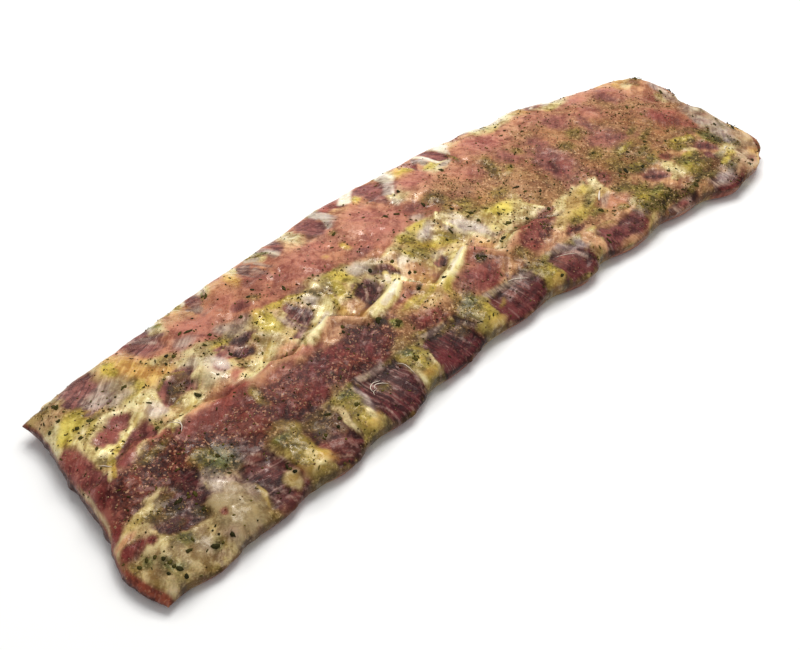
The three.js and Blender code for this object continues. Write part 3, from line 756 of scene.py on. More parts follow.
# %% Fat, windows and rub in the middle
dabs("cream", (-168, 3, 16, 14, 30), (-180, 26, 5, 9), (-150, 12, 9, 7), (-120, 12, 9, 9))
dabs("ivory", (-150, 9, 6, 6), (-177, 16, 5, 4), (-119, 8, 5, 5), (-90, 3, 6, 2.6, 15), blur=0.7,
     strength=0.7)
dabs("gold", (-142, 31, 8, 11, 10), (-139, 21, 9, 5), (-131, 20, 4, 4), (-84, 16, 4, 4), blur=0.6)
dabs("yellow", (-173, 22, 8, 5.5, 25), (-181, 17, 3, 4), (-146, 36, 3, 6, -10), (-148, 18, 7, 2.6, 15),
     (-83, 12, 4.6, 8, -10), (-72, 18, 7, 2.6), (-41, 13, 6, 5, -20), (-47, 6, 3, 5), (7, 4, 5, 4),
     (14, 4, 6, 2.4, -20), (11, 15, 6, 3), (-1, 11, 5, 4), (-8, 2, 3, 4), (48, -4, 12, 5), (40, -10, 6, 4),
     (-104, 15, 6, 3), (-62, 16, 6, 2, -30), (18, 0, 4, 3), (-12, -13, 4, 5))
dabs("olive", (-176, 41, 2, 5, -12), (-170, 44, 4, 2), (-165, 18, 7, 1.4, 8), (-171, 24, 3, 4),
     (-97, 17, 6, 3), (-1, 7, 4, 8, 10), (1, -1, 4.6, 3.4), (-44, 16, 4, 3), (-49, 9, 3, 4),
     (16, -1, 3, 1.6), (-107, 18, 6, 2.4), (-55, 12, 1.6, 6, 30), (44, 3, 9, 2.4), (-145, 22, 3, 2.4),
     (-127, 24, 5, 3), (33, 4, 3, 5), (-171, 13, 6, 1.6, 30), (-112, 12, 4, 3), (28, 14, 4, 3),
     (-152, -4, 3, 4), (-177, -4, 3, 3), (-181, 28, 2, 3), blur=0.6, strength=0.7)
dabs("silver", (-158, 27, 6, 5), (-153, 20, 6, 4), (-115, 6, 3.4, 5), (-149, 2, 4, 3), (-121, 14, 4, 3),
     (-28, 14, 6, 2.6, -10), (-24, 9, 3, 4), (-12, -1, 3, 5), (11, 11, 5, 2.4, 20), (22, 4, 3, 5),
     (30, -4, 4, 6), (16, 20, 3, 3), (-58, 8, 2.6, 5, 20), (-31, -3, 3, 5, 30), (5, -5, 6, 2, 20),
     (-98, 23, 5, 3), (-116, 26, 5, 4), blur=0.6, strength=0.75)
lines("violet", 1.5, [(-166, 25), (-152, 24)], [(-165, 28), (-154, 28)], [(-168, 21), (-156, 21)],
      [(-70, -4), (-76, 4), (-74, 9)], [(-66, 8), (-68, 16)], [(-20, -1), (-21, 8)], [(-8, -6), (-3, -5)])
dabs("mauve", (-184.5, 5, 5, 9, 5), (-186, -7, 5, 11, 8), (-190, -20, 4, 9, 5), (-170, 6, 5.6, 4.4, 30),
     (-161, 9.4, 7, 3.6, 12), (-163, -3, 9, 4.4, 28), (-171, -9, 5, 4, 30), (-156, -5, 3, 5),
     (-108, 8, 4, 3), (-84, 28, 4, 4), blur=0.3, power=2.6)
dabs("crimson", (-185, 6, 3.6, 6, 5), (-187, -8, 3.4, 7, 8), (-168, 7, 6, 2.4, 25), (-162, -4, 6, 2.6, 30),
     (-174, -11, 5, 3, 30), blur=0.6, strength=0.6)
dabs("lilac", (-148, 5, 4, 4), (-120, 3, 4, 4), (-113, 8, 3, 3), blur=0.7, strength=0.6)
dabs("grape", (-134, 9, 9.4, 6, 25), (-127, 14, 5, 3, -20), (-140, 4, 4, 2.4), (-101, 6, 5.5, 2.6, -25),
     (-97, 12, 6.5, 2.2, -10), (-107, 13, 3.4, 1.6), (-68, 6, 5.6, 8, 15), (-70, 13, 3, 3.4, 20),
     (-78, -3, 4.4, 2, 30), (-37, -3, 7.4, 8, -30), (-42, -10, 6.6, 4, 35), (-33, 4, 3, 2.4),
     (-19, 2, 1.4, 5, 15), blur=0.3)
dabs("plum", (-132, 10, 7, 4, 25), (-102, 6, 6, 2.4, -25), (-97, 12, 6, 2, -10), (-66, 5, 4.6, 9, 15),
     (-39, -5, 7.4, 6, 35), (-36, 2, 5, 4), (-139, 5, 3, 2), blur=0.5, strength=0.95)
dabs("moss", (-136, 5, 5, 3, 25), (-128, 13, 4, 2), (-133, 9, 3, 2, 20), blur=0.8, strength=0.5)
dabs("violet", (-76, 3, 3, 6, 20), (-76, -3, 4, 2, 30), (-24, 6, 3, 4), blur=0.7, strength=0.7)
dabs("grape", (-113, 5, 3.4, 3.4), (-127, 6, 5, 3, 30), (-23, 5, 2.6, 5, 20), (-140, 10, 3, 2, 30),
     (-104, 10, 6, 2), strength=0.85)
lines("olive", 1.3, [(-140, 12), (-132, 17), (-126, 14)], [(-142, 2), (-136, 3), (-130, 1)],
      [(-128, 2), (-122, 8)], [(-84, -13), (-78, -6)], [(-6, -21), (-1, -18)],
      [(-176, 10), (-168, 15), (-157, 17)], [(-56, 14), (-54, 4)], [(14, -13), (19, -8)],
      [(-47, -2), (-38, 4)], [(-151, -9), (-146, -4)], strength=0.8)
lines("ivory", 1.6, [(-179, 12), (-172, 14), (-163, 16), (-154, 12)],
      [(-177, 0), (-168, 0), (-160, 4), (-153, 6)], [(-182, -14), (-177, -8), (-173, -2)],
      [(22, 9), (24, 2), (26, -6)], [(61, -7), (65, -15)], [(20, 12), (24, 16)])
lines("yellow", 2.0, [(-176, -6), (-166, 1)], [(-174, 12), (-166, 17)], [(-180, -14), (-174, -6)],
      [(-98, -3), (-90, 1)], [(-52, 6), (-54, -4)], strength=0.8)
dabs("plain", (-150, 26, 5, 5), (-122, 6, 4, 4), (-124, 0, 5, 3), (-26, 12, 6, 3, -10), (-25, 0, 4, 5, 20),
     (12, 14, 6, 3, 20), (27, -2, 4, 9, 10), (-90, 3, 5, 3, 15), (-59, 8, 2.4, 6, 20), (-10, 0, 3, 5),
     blur=0.7, strength=0.7)
dabs("lemon", (-174, 22, 5, 3.6, 25), (-179, 19, 3, 3), (-83, 7, 3, 4, -10), (-14, -14, 3, 4),
     (-47, 8, 2, 3), (10, 2, 4, 3), (46, -1, 8, 2), (52, -4, 4, 2), blur=0.8, strength=0.7)
dabs("yellow", (-84, 12, 4, 6.4, -10), (-40, 12, 5, 4, -20), (13, 16, 4, 2), (-146, 36, 2, 5, -10),
     (14, -1, 5, 2), blur=0.7, strength=0.8)
dabs("cream", (40, -9, 6, 5), (52, -11, 9, 5), (58, -6, 4, 6), (38, -3, 5, 3), (12, 6, 5, 3),
     (-6, -6, 4, 3), (0, -13, 5, 2, 20), (22, 12, 4, 3), blur=0.7, strength=0.8)
dabs("oil", (0, 6, 4, 7, 10), (-3, 1, 5, 4), (-47, 14, 3, 3), (-34, 17, 4, 2), (-37, 8, 4, 2, -20),
     (-98, 18, 5, 2.4), (4, 12, 3, 3), (38, 8, 5, 4), (-53, 2, 2, 5), (-167, 17, 6, 1.6, 8),
     (-88, 17, 3, 2.4), blur=0.8, strength=0.7)
dabs("lilac", (-30, 13, 5, 2.6, -15), (27, 3, 3.4, 8, 10), (31, -6, 3.4, 4), (12, 10, 6, 3, 20),
     (-112, 5, 2.6, 4), (-58, 9, 2, 5, 20), (-11, 0, 2.4, 4), (-24, -2, 3, 3, 20), blur=0.6, strength=0.75)
dabs("silver", (-160, 25, 5, 3), (-94, 18, 6, 4), (-88, 20, 3, 3), blur=0.7, strength=0.6)
dabs("grape", (3, -10, 5, 3, 20), blur=0.3)
dabs("plum", (5, -11, 3, 1.8, 20), blur=0.8, strength=0.7)
dabs("tan", (-180, 38, 5, 7), (-178, 30, 4, 3), blur=0.7, strength=0.6)
dabs("olive", (-181, 41, 4, 4), (-176, 38, 3, 5), (-168, 44, 5, 2), blur=0.7, strength=0.6)
lines("violet", 1.3, [(-46, -10), (-38, -3), (-34, 4)], [(-43, -13), (-33, -6), (-30, 2)],
      [(-23, 8), (-20, -2)], [(-76, 0), (-70, 2), (-66, 8)], [(-78, -4), (-71, -3), (-66, 1)],
      [(-110, 7), (-103, 10), (-97, 8)], strength=0.6)
print("middle painted")

# %% Lips
dabs("peach", (-72, -13, 10, 4, 8), (-58, -10, 3, 6, -15), (-88, -8, 5, 5), (-30, -19, 13, 4.4, 4),
     (-125, -6, 9, 4, 14), (-17, -12, 2, 5, -15), (23, -14, 4, 8, 15), (-50, -8, 5, 7), (-12, -8, 5, 6),
     (-135, -10, 7, 2, 5), (40, -17, 10, 3, 10), (-10, -16, 4, 4), blur=0.6)
dabs("gold", (-51, -12, 3, 6, -10), (-54, -6, 2, 5, -10), (-14, -14, 3, 6), (-28, -21, 8, 2, 5),
     (25, -17, 2.4, 6, 10), blur=0.7, strength=0.7)
dabs("rosy", (-120, -10, 6, 4), (-137, -13, 9, 2.4, 5), (-100, -15, 8, 2.4), (-32, -17, 8, 2.4, 5),
     (14, -19, 8, 3, 12), (-84, -15, 6, 2), (-112, -3, 4, 3), blur=0.6)
lines("cream", 7.0, [(-148, -9), (-140, -4), (-131, 0)], [(-112, -9), (-104, -5), (-95, -1), (-88, 1)],
      [(-81, -11), (-72, -6), (-62, 0), (-57, 5)], [(26, -23), (34, -20), (42, -17)],
      [(-48, -17), (-34, -12), (-23, -4)], [(-12, -23), (4, -16), (15, -8)])
# The ivory and white lines along the crests are pale fat with a painted highlight on the wet crest.
lines("ivory", 5.4, [(-76, -9), (-68, -4), (-61, 1), (-57, 4)],
      [(-42, -15.5), (-34, -13), (-27, -9), (-21, -3)], [(-8, -22.5), (3, -17.5), (13, -10)])
lines("ivory", 3.4, [(-148, -10), (-140, -5), (-131, -1)], [(-110, -9), (-100, -4), (-90, 0)],
      [(26, -22), (36, -18)])
lines("ivory", 2.6, [(-29, -7), (-25, -2), (-22, 3)], [(10, -14), (18, -7)], [(-146, -9), (-137, -3)],
      [(-110, -10), (-98, -4)], [(-50, -18), (-44, -16)], [(-19, -6), (-17, -14)], [(-104, -8), (-92, -1)])
lines("white", 2.6, [(-42, -15.5), (-32, -12), (-24, -7)], [(-4, -20), (4, -16), (13, -11)],
      [(-70, -6), (-59, 1)], [(-26, -4), (-23, 1)])
lines("olive", 1.5, [(-84, -13), (-79, -7)], [(-5, -20), (-1, -18)], [(15, -13), (19, -8)],
      [(-18, -8), (-16, -18)], [(-151, -13), (-147, -7)], strength=0.8)
print("lips painted")

# %% [markdown]
# ### The skirt and the front
#
# The skirt is coarse dark muscle under a crust of rub. In front of it the meat between the ribs is
# deep plum, with torn white strands, and each rib's end is a pad of fat soaked with yellow oil.

# %% The skirt muscle
dabs("crimson", (-140, -16, 9, 3.4, 5), (-127, -15, 8, 4), (-86, -23, 9, 5), (-95, -33, 7, 3),
     (-112, -32, 6, 3), (-62, -28, 7, 5), (-187, -18, 5, 5), (8, -28, 14, 6, 3), (6, -33, 10, 3),
     (-27, -33, 11, 3), (-58, -24, 4, 3), (38, -30, 7, 5, 20), (-76, -22, 6, 4), blur=0.6)
dabs("plum", (-84, -23, 4, 2.4), (-112, -32, 3, 1.6), (-91, -31, 3, 1.6), (-75, -34, 7, 1.8),
     (-110, -36, 9, 1.6), (-62, -36, 6, 1.8), (-145, -37, 6, 1.8), blur=0.7, strength=0.7)
dabs("mince", (50, -25, 15, 5.6, 18), (60, -21, 7, 5, 20), (-25, -34, 8, 2.4), (66, -35.5, 8, 2.4),
     (47, -20, 9, 3, 10))
dabs("crimson", (47, -25, 9, 3, 18), (67, -36, 7, 1.8), (61, -22, 4, 3, 20), blur=0.6, strength=0.6)
dabs("tan", (-44, -30, 5, 5), (-48, -35, 5, 2.4), (28, -31, 5, 4), (-18, -33, 4, 3), (-25, -26, 8, 3),
     (76, -38, 6, 3), (92, -38, 8, 3), (-36, -24, 6, 3), blur=0.6)
dabs("green", (-147, -33, 8, 5, -10), blur=0.7, strength=0.85)
dabs("olive", (-152, -30, 5, 3, -10), (-50, -36, 5, 2.4), (-12, -34, 5, 4), (-46, -27, 3, 3),
     (-115, -21, 1.8, 6, -18), (30, -33, 4, 3), (-28, -24, 5, 1.6, 10), (-40, -36, 6, 1.4),
     (-160, -33, 5, 2.4), (-163, -15, 8, 1.8, 5), blur=0.6, strength=0.85)
dabs("straw", (-28, -22, 11, 2.4, 10), (-20, -26, 8, 2, 15), blur=0.7, strength=0.7)
dabs("yellow", (-116, -20, 1.2, 4.4, -18), (-21, -23, 8, 1.4, 15), (-13, -29, 2, 4), (-30, -22, 6, 1.4, 8),
     (-10, -25, 5, 1.6, 15), blur=0.6, strength=0.8)
dabs("soot", (-85, -31, 1.2, 1), (-22, -17.5, 1.4, 1), (-130, -0.5, 1.4, 1.2), (96, -16, 1, 1),
     strength=0.85)
dabs("raw", (-138, -16, 9, 4, 5), (-125, -13, 9, 4, 8), (-117, -9, 6, 4), (-148, -17, 4, 3), blur=0.6,
     strength=0.85)
dabs("mauve", (-100, -22, 12, 3), (10, -26, 12, 3, 5), (-2, -32, 8, 3), (44, -27, 9, 3, 18),
     (58, -20, 7, 3.4, 10), blur=0.8, strength=0.6)
dabs("green", (-45.5, -27, 2.6, 3), blur=0.6, strength=0.8)
dabs("wine", (-92, -27, 12, 5), (-122, -24, 12, 6), (-66, -25, 8, 6), blur=0.9, strength=0.35)
dabs("soot", (-50, -22, 3, 1.8, 20), (14, -21.5, 3.2, 2.4, 20), blur=0.5, strength=0.85)
print("skirt painted")

# %% Windows at the front
FRONT_WINDOWS = [(-171, -41, 11, 10), (-161, -38, 4.6, 9, -18), (-135, -49, 9.4, 15, 6),
                 (-105, -50, 10.6, 13.4), (-70, -49, 14, 12.4), (-32, -47.5, 15.5, 10.6),
                 (11, -46.5, 15.6, 9.6), (48.5, -47, 12.4, 8.6), (84.5, -49, 16.5, 6.2, -3),
                 (123, -56.5, 11, 3.4), (156, -59, 11, 5, -6)]
dabs("plum", *FRONT_WINDOWS, blur=0.16, power=4.0)
dabs("mauve", (-137, -60, 7, 4, 10), (-108, -57, 9, 4, -8), (-100, -50, 4, 5), blur=0.7, strength=0.6)
dabs("wine", (-71, -55, 12, 4.6), (-79, -48, 5, 6), (-36, -51, 10, 4), (-24, -53, 6, 3), (-61, -50, 4, 6),
     (12, -50, 13, 4), (20, -46, 5, 3), (2, -46, 4, 4), (46, -50, 11, 5), (154, -60, 7, 3, -6),
     (-162, -36, 3, 6, -18), (-132, -47, 4, 8), (-108, -58, 7, 3, -5), blur=0.7, strength=0.6)
dabs("mauve", (85, -48.5, 15, 4.4, -3), (46, -44, 8, 3), blur=0.5, strength=0.8)
dabs("wine", (80, -49, 10, 2.4), (92, -50, 5, 2), blur=0.7, strength=0.5)
dabs("peach", (86, -54.6, 15, 1.4, -2), (84, -43, 15, 1.2), (118, -58, 8, 1), blur=0.7, strength=0.7)
dabs("crimson", (75, -54, 5, 1.4), (96, -53, 5, 1.4), blur=0.7, strength=0.6)
dabs("violet", (123, -55, 7, 2.4), (154, -56, 8, 3, -6), (129, -57, 4, 1.6), blur=0.7, strength=0.7)
dabs("grape", (-72, -46, 9, 5), (-105, -46, 7, 7), (-133, -42, 6, 6), (-24, -42, 6, 3), (14, -42, 8, 3),
     (-110, -54, 4, 3), (42, -43, 5, 3), (-101, -52, 4, 4), blur=0.8, strength=0.6)
dabs("violet", (-146, -44, 2.4, 6, -20), (-173, -60, 3.4, 4, 20), (-163, -60, 3, 3), (120, -56, 4, 2),
     (157, -53, 7, 2.4, 10), (149, -57, 3, 2, 30), (22, -40, 5, 1.4, -20), (127, -55, 3, 2), blur=0.6,
     strength=0.8)
dabs("lilac", (-84, -46, 2, 6), (-153, -42, 4, 5, 10), (-148, -50, 2, 4, -20), (60, -42, 2, 4.4, 25),
     (52, -39, 6, 1.4, -25), blur=0.6, strength=0.75)
lines("violet", 0.9, [(-178, -46), (-171, -40), (-163, -42), (-160, -48)],
      [(-176, -49), (-170, -44), (-164, -46)], [(-138, -36), (-131, -40), (-127, -47), (-127, -56)],
      [(-139, -39), (-133, -43), (-130, -50), (-130, -58)], [(-145, -52), (-141, -58), (-139, -62)],
      [(-141, -50), (-137, -56), (-134, -62)], [(-166, -31), (-160, -38), (-158, -47)],
      [(-168, -33), (-163, -39), (-161, -48)], [(-59, -39), (-57, -46), (-59, -55)],
      [(-99, -38), (-95, -44), (-95, -54)], [(145, -60), (152, -56), (160, -58)],
      [(-112, -58), (-104, -61)], [(-83, -52), (-78, -57)], [(-20, -40), (-18, -48)],
      [(-108, -42), (-103, -47)], strength=0.6)
lines("silver", 2.2, [(41, -37.6), (49, -39.5), (54, -44), (57, -48)], [(-78, -37.6), (-64, -37.6)],
      [(-2, -37.6), (8, -37.4), (20, -39.5)], [(-40, -37.5), (-28, -38.5)], strength=0.55)
paint("olive", drift(4, 71, -0.1, 0.5) * fall(-164, -154, X) * fall(-53, -48, Y), 0.75)
paint("silver", drift(5, 73, 0.1, 0.5) * fall(-164, -154, X) * fall(-56, -50, Y), 0.4)
paint("mauve", drift(5, 76, 0.1, 0.5) * smooth(-164, -156, X) * fall(-126, -118, X) * fall(-56, -46, Y),
      0.5)
dabs("wine", (-170, -42, 11, 8), (-164, -35, 5, 7, -18), blur=0.5, strength=0.75)
dabs("plum", (-167, -44, 5, 3), (-173, -38, 4, 3, 20), blur=0.7, strength=0.6)
dabs("crimson", (-174, -46, 5, 3), (-163, -38, 3, 5, -18), (-128, -57, 5, 3), (-110, -55, 5, 3), blur=0.7,
     strength=0.6)
dabs("moss", (-178, -37, 4, 5), (-164, -45, 3, 2.4), (-101, -45, 3.6, 4), (-108, -49, 4, 3),
     (-174, -45, 3, 1.6), (-23, -44, 5, 3), (-71, -46, 2.4, 2.4), (-99, -51, 3, 3), (-172, -39, 5, 2),
     (-111, -42, 3, 3), (-105, -40, 6, 2), blur=0.8, strength=0.6)
dabs("olive", (-180, -34, 5, 3, 20), (-164, -46, 3, 3), (-107, -44, 3, 3), (-28, -40, 6, 1.6),
     (-17, -50, 2, 2), (4, -44, 4, 1.2, 30), (-98, -42, 3, 2), (-174, -33, 7, 2), (-71, -45, 2, 2),
     blur=0.7, strength=0.6)
print("front windows painted")

# %% Rib pads at the front
dabs("cream", (-189, -54, 8.5, 8.5), (-176, -56, 11, 6), (-168, -53, 6, 3.4, 10), (-130, -57, 3, 2.6),
     (-95.5, -49, 1.2, 8), (-56, -52, 1.2, 5), (-46.6, -50, 1, 4))
dabs("plain", (-154, -55, 10, 8), (-158, -47, 4, 4), (-150, -48, 4, 4), blur=0.3, power=2.6)
dabs("silver", (-151, -42, 3.6, 6, 20), (-146, -50, 2.4, 5, -20), (-152, -37, 4, 2), (-84.6, -47, 1.8, 5),
     (-173, -58, 3, 3), blur=0.6, strength=0.75)
dabs("oil", (-120, -48, 5, 12), (-89.5, -46, 4, 9), (-51.5, -45, 4.4, 9), (-10, -43, 5, 9),
     (32, -44.5, 4.6, 8), (-118, -38, 5, 3), (-85, -39, 3, 2), blur=0.5)
dabs("yellow", (-119, -55, 4, 4), (-115, -57, 3, 2), (-89, -54, 2.4, 3.4), (-51, -48, 2, 5),
     (-9, -48, 2, 3), (33, -46, 1.6, 4), (-187, -57, 3, 4), (-167, -55, 3, 1.8, 10), (-176, -54, 3, 2),
     (-182, -33, 5, 1.4, 20), (-6, -43, 2, 3), blur=0.7, strength=0.75)
dabs("olive", (-121, -41, 5, 5), (-124, -54, 2, 5), (-89, -42, 4, 5), (-92, -54, 1.6, 4), (-52, -41, 4, 5),
     (-54, -50, 1.6, 4), (-12, -38, 5, 6), (-12, -48, 2, 4), (31, -40, 4, 5), (30, -50, 3, 3),
     (-190, -58, 3, 6, 15), (-183, -50, 3, 3), (-176, -51, 5, 2), (-117, -49, 2, 3), blur=0.7,
     strength=0.75)
dabs("green", (-190, -57, 2, 4), (-177, -51, 3, 1.6), (-88, -41, 2.4, 3), (-52, -42, 2, 2.4),
     (-146, -34, 6, 5, -20), (-11, -35, 3, 3), (-122, -40, 3, 2), blur=0.8, strength=0.7)
dabs("moss", (-147, -30, 4, 2), (-142, -36, 3, 3), (-151, -38, 3, 2), (-123, -46, 2, 3), (-12, -36, 3, 2),
     (-54, -39, 3, 2), (30, -37, 3, 2), blur=0.8, strength=0.5)
dabs("ivory", (-131, -55, 3, 2.4), (-86, -54, 1.2, 3), (-185, -48, 3, 2, 30), (-195, -51, 1.6, 3),
     (-118, -60, 4, 1), (-143.6, -55, 0.8, 5, -10), (-180, -31.5, 6, 1.2, 20), (-173, -29.5, 5, 1, -10),
     blur=0.5, strength=0.8)
dabs("crimson", (-193, -42.4, 6.4, 3, 8), (-186, -44.5, 3, 2), (-193, -33, 4, 2.4), blur=0.4)
dabs("peach", (-193, -37.6, 4.6, 1.6), (65, -43, 3.6, 4), (66, -49, 3, 4))
dabs("plain", (-182, -57, 12, 5), (-192, -52, 5, 6), (-171, -55, 6, 4), (-155, -56, 9, 6), blur=0.7,
     strength=0.5)
dabs("rind", (-159, -52.5, 1.4, 1.6), blur=0.5)
dabs("green", (-189, -57, 2.4, 5, 10), (-186, -61, 3, 2), (-177, -53, 3, 2), (-170, -60, 3, 1.6, 20),
     (-194, -49, 2, 2), blur=0.8, strength=0.7)
dabs("tan", (-120, -37, 5, 2), (-88, -37, 4, 2), (-50, -36, 6, 2), (32, -36, 5, 3), (-14, -31, 4, 3),
     blur=0.8, strength=0.5)
dabs("gold", (-114, -59, 4, 2), (-51, -53, 4, 1.4), (-8, -51, 5, 1.4), (-88, -57, 4, 1.6),
     (32, -52, 4, 1.6), blur=0.7, strength=0.6)
print("rib pads painted")

# %% [markdown]
# ### The far end
#
# The last two ribs lie under a heap of herbs, and the corner behind them is wrapped in a smooth
# pale skin with a golden border.

# %% Herb heaps and pale skin at the far end
dabs("cream", (80, -19, 15, 5, 8), (88, -24, 12, 5, 20), (70, -28, 9, 4), (98, -22, 3, 6, -20),
     (104, -42, 5, 3))
dabs("straw", (72, -30, 9, 5, 10), (84, -20, 9, 4, 10), (78, -25, 9, 3, 10), (60, -30, 4, 3),
     (86, -34, 8, 2.4), (96, -28, 4, 5))
dabs("yellow", (74, -31, 7, 3, 10), (92, -19, 4, 2), (84, -30, 5, 2, 20), blur=0.7, strength=0.7)
dabs("olive", (84, -27, 6, 1.6, 25), (83, -35, 5, 2), (92, -22, 4, 1.4, 20), (68, -33, 4, 2),
     (97, -40, 4, 2.4), strength=0.8)
dabs("salmon", (93, -33, 7, 4), (100, -36, 4, 4), (135, -47, 6, 2.6), (129, -50, 4, 2), blur=0.6)
dabs("moss", (84, -28.6, 4, 1.2, 25), blur=0.6, strength=0.8)
dabs("silver", (93, -31, 5, 2, 20), blur=0.7, strength=0.7)
dabs("olive", (106, -45, 8, 5), (112, -38, 9, 5, 20), (118, -44, 8, 4), (150, -38, 11, 6),
     (145, -44, 10, 5), (160, -28, 8, 4, -30), (177, -34, 7, 7), (178, -45, 9, 4, 15), (127, -24, 7, 4),
     (137, -26, 4, 4), (166, -51, 3, 2))
dabs("moss", (109, -47, 7, 3), (122, -48, 7, 2.4), (113, -51, 10, 2), (140, -50, 12, 2.4),
     (151, -51, 8, 2.4), (150, -40, 5, 3), (159, -44, 5, 3), (176, -35, 4, 4), (182, -41, 4, 3),
     (133, -52, 5, 2), (105, -31, 4, 2.4), (164, -55, 1.6, 4), (178, -47, 7, 1.4, 15), (126, -28, 5, 1.6),
     blur=0.7, strength=0.85)
dabs("yellow", (146, -41, 5, 2.4, 10), (155, -34, 4, 2.4), (163, -26, 6, 1.8, -30), (165, -51, 2, 2),
     (108, -42, 4, 2), (183, -45, 4, 1.4, 15), (133, -12, 5, 1.6), (137, -42, 4, 2), strength=0.85)
dabs("cream", (138, -37, 3.4, 6), (136, -43, 4, 1.8), (170, -46, 5, 2.6), (187, 27, 7, 3, 30),
     (190, 5, 5, 5))
dabs("mauve", (124, -55, 4, 1.8), (163, -43, 2, 4))
dabs("silver", (188, -30, 6, 10, -15), (190, -14, 5, 8), (194, -20, 4, 9), (184, -36, 5, 5), (193, 2, 4, 6),
     (187, -21, 4, 3, 20), (196, 14, 3, 6), blur=0.5)
dabs("tan", (190, -22, 5, 9), (188, -5, 4, 6), (192, 2, 3, 5), blur=0.8, strength=0.45)
# Painted glints: small white dabs on the smooth pale skin.
dabs("white", (170, -46, 3.4, 1.4, 10), (194, -12, 2, 2.6), (196, 9, 1.6, 3), blur=0.6, strength=0.8)
dabs("gold", (192, 33, 6, 4, 30), (186, 33, 6, 2.4, 30), blur=0.7, strength=0.7)
dabs("olive", (197, 29, 3, 5, 10), (191, 24, 3, 2, 30), (196, -2, 2, 4), blur=0.7, strength=0.6)
lines("moss", 1.8, [(194, -30), (195, -36), (192, -41)], [(186, -25), (181, -30)])
dabs("cream", (182, -54, 14, 5.5, 8), (172, -59, 7, 2.4), (189, -50, 6, 4, 20), (176, -57, 9, 3, 10))
dabs("violet", (180, -54, 9, 2, 12), (185, -51, 5, 1.6, 20), (178, -59, 8, 1.2, 5), blur=0.6, strength=0.6)
lines("gold", 1.8, [(190, -46), (180, -48.5)])
lines("moss", 1.4, [(176, -58), (184, -55)], [(180, -57), (187, -54)], strength=0.8)
dabs("oil", (80, -34, 5, 2), (146, -40, 8, 4, 10), (152, -36, 6, 3), (177, -38, 6, 7), (108, -34, 5, 4),
     (114, -42, 8, 4, 10), blur=0.8, strength=0.6)
dabs("moss", (108, -49, 5, 2.4), (120, -50, 6, 2), (112, -45, 3, 2), (104, -32, 4, 2.4, 20),
     (152, -47, 7, 2), (116, -22, 3.4, 1.6, 30), blur=0.8, strength=0.6)
dabs("green", (120, -42, 5, 2, 10), (178, -44, 5, 3, 10), (148, -39, 3, 2), (176, -33, 4, 4), blur=0.8,
     strength=0.5)
dabs("peach", (180, -52, 9, 3, 10), (174, -58, 7, 2, 5), (134, -47, 6, 2.6), (193, -48, 3, 4, 10), blur=0.7,
     strength=0.6)
dabs("rind", (66.5, -18, 2.2, 1.6), blur=0.6)
dabs("crimson", (106, -19, 3.4, 5, 10), (144, -30, 6, 2.2, 10), blur=0.6, strength=0.6)
dabs("mauve", (128, -34, 7, 4.4, -45), (167, -37, 7.4, 3.4, -45), blur=0.4, strength=0.9)
dabs("plum", (129, -36, 5, 1.6, -45), (126, -33, 3, 1.4, -45), (168, -38, 5.4, 1.8, -45), blur=0.6,
     strength=0.75)
dabs("cream", (138, -37, 5, 2.6, -45), (160, -33, 3, 1.4, -45), (173, -47, 3, 1.6, 10), blur=0.6,
     strength=0.85)
dabs("moss", (175, -25, 6, 2.4, -20), (176, -38, 3, 4), (166, -47, 5, 2.4, -20), blur=0.8, strength=0.6)
dabs("lilac", (190, -31, 4.6, 8, -10), (187, -21, 4, 4, 20), (184, -42, 4, 4), (178, -53, 6, 2, 10),
     blur=0.6, strength=0.75)
dabs("mauve", (188, -50, 3, 4, 10), (170, -58, 9, 2, 5), blur=0.7, strength=0.6)
lines("gold", 2.0, [(197, -32), (196, -42), (192, -52), (184, -59)], strength=0.8)
lines("moss", 1.8, [(199, -8), (194, -18)], [(195, -24), (191, -33)], [(186, -38), (182, -44)],
      strength=0.6)
paint("mauve", drift(5, 74, 0.0, 0.5) * smooth(182, 188, X) * fall(-12, 0, Y), 0.45)
dabs("skin", (182, -52, 14, 6, 27), (192, -43, 5, 9, 10), blur=0.6, strength=0.85)
dabs("gold", (188, -52.5, 3.6, 3), blur=0.8, strength=0.7)
dabs("mauve", (182.5, -56, 4.4, 2.2, 10), blur=0.7, strength=0.7)
dabs("ivory", (176, -44.5, 4.6, 3.2), blur=0.6, strength=0.8)
dabs("yellow", (171.6, -49.5, 4, 2.4), blur=0.7, strength=0.8)
dabs("moss", (184, -44.5, 2.6, 3.6), (167.3, -55.3, 2.6, 1.8), blur=0.7, strength=0.75)
dabs("lilac", (157, -55.6, 6, 2.2), blur=0.7, strength=0.6)
dabs("crimson", (166, -61, 6, 1.6), (150, -62, 6, 1.6), blur=0.6, strength=0.7)
lines("rind", 2.2, [(199, -38), (198, -46), (194, -53), (188, -60)], strength=0.85)
lines("moss", 2.2, [(200, -20), (199, -33), (198, -40)], strength=0.7)
print("far end painted")

# %% [markdown]
# ### Washes of painted shade and light
#
# Painted shade and painted light: whole zones are made a little darker, lighter or bluer than their
# tissues alone. As in watercolour, a wash goes over what is painted and keeps its pattern: it
# multiplies both colours of every point by three numbers, for red, green and blue, inside a soft-edged zone.

# %% Washes of painted shade and light
near_half = fall(-105, -85, X)
# The darker washes are painted shade, the lighter ones painted light.
wash((0.89, 0.84, 0.79), near_half * fall(-14, -6, Y))
wash((1.12, 1.12, 1.05), near_half * smooth(-12, -6, Y) * fall(8, 16, Y))
wash((0.90, 0.83, 0.80), smooth(-105, -90, X) * fall(-68, -52, X) * smooth(12, 18, Y) * fall(26, 34, Y))
wash((1.13, 1.14, 1.06), smooth(-32, -18, X) * fall(54, 68, X) * smooth(-14, -8, Y) * fall(10, 18, Y))
wash((1.08, 1.13, 1.18), smooth(-62, -42, X) * smooth(24, 34, Y))
wash((0.86, 0.85, 0.74), smooth(100, 114, X) * fall(-14, -6, Y) * smooth(-38, -30, Y))
print("washes done, lightest point:", round(float(coating[:, :6].max()), 2))
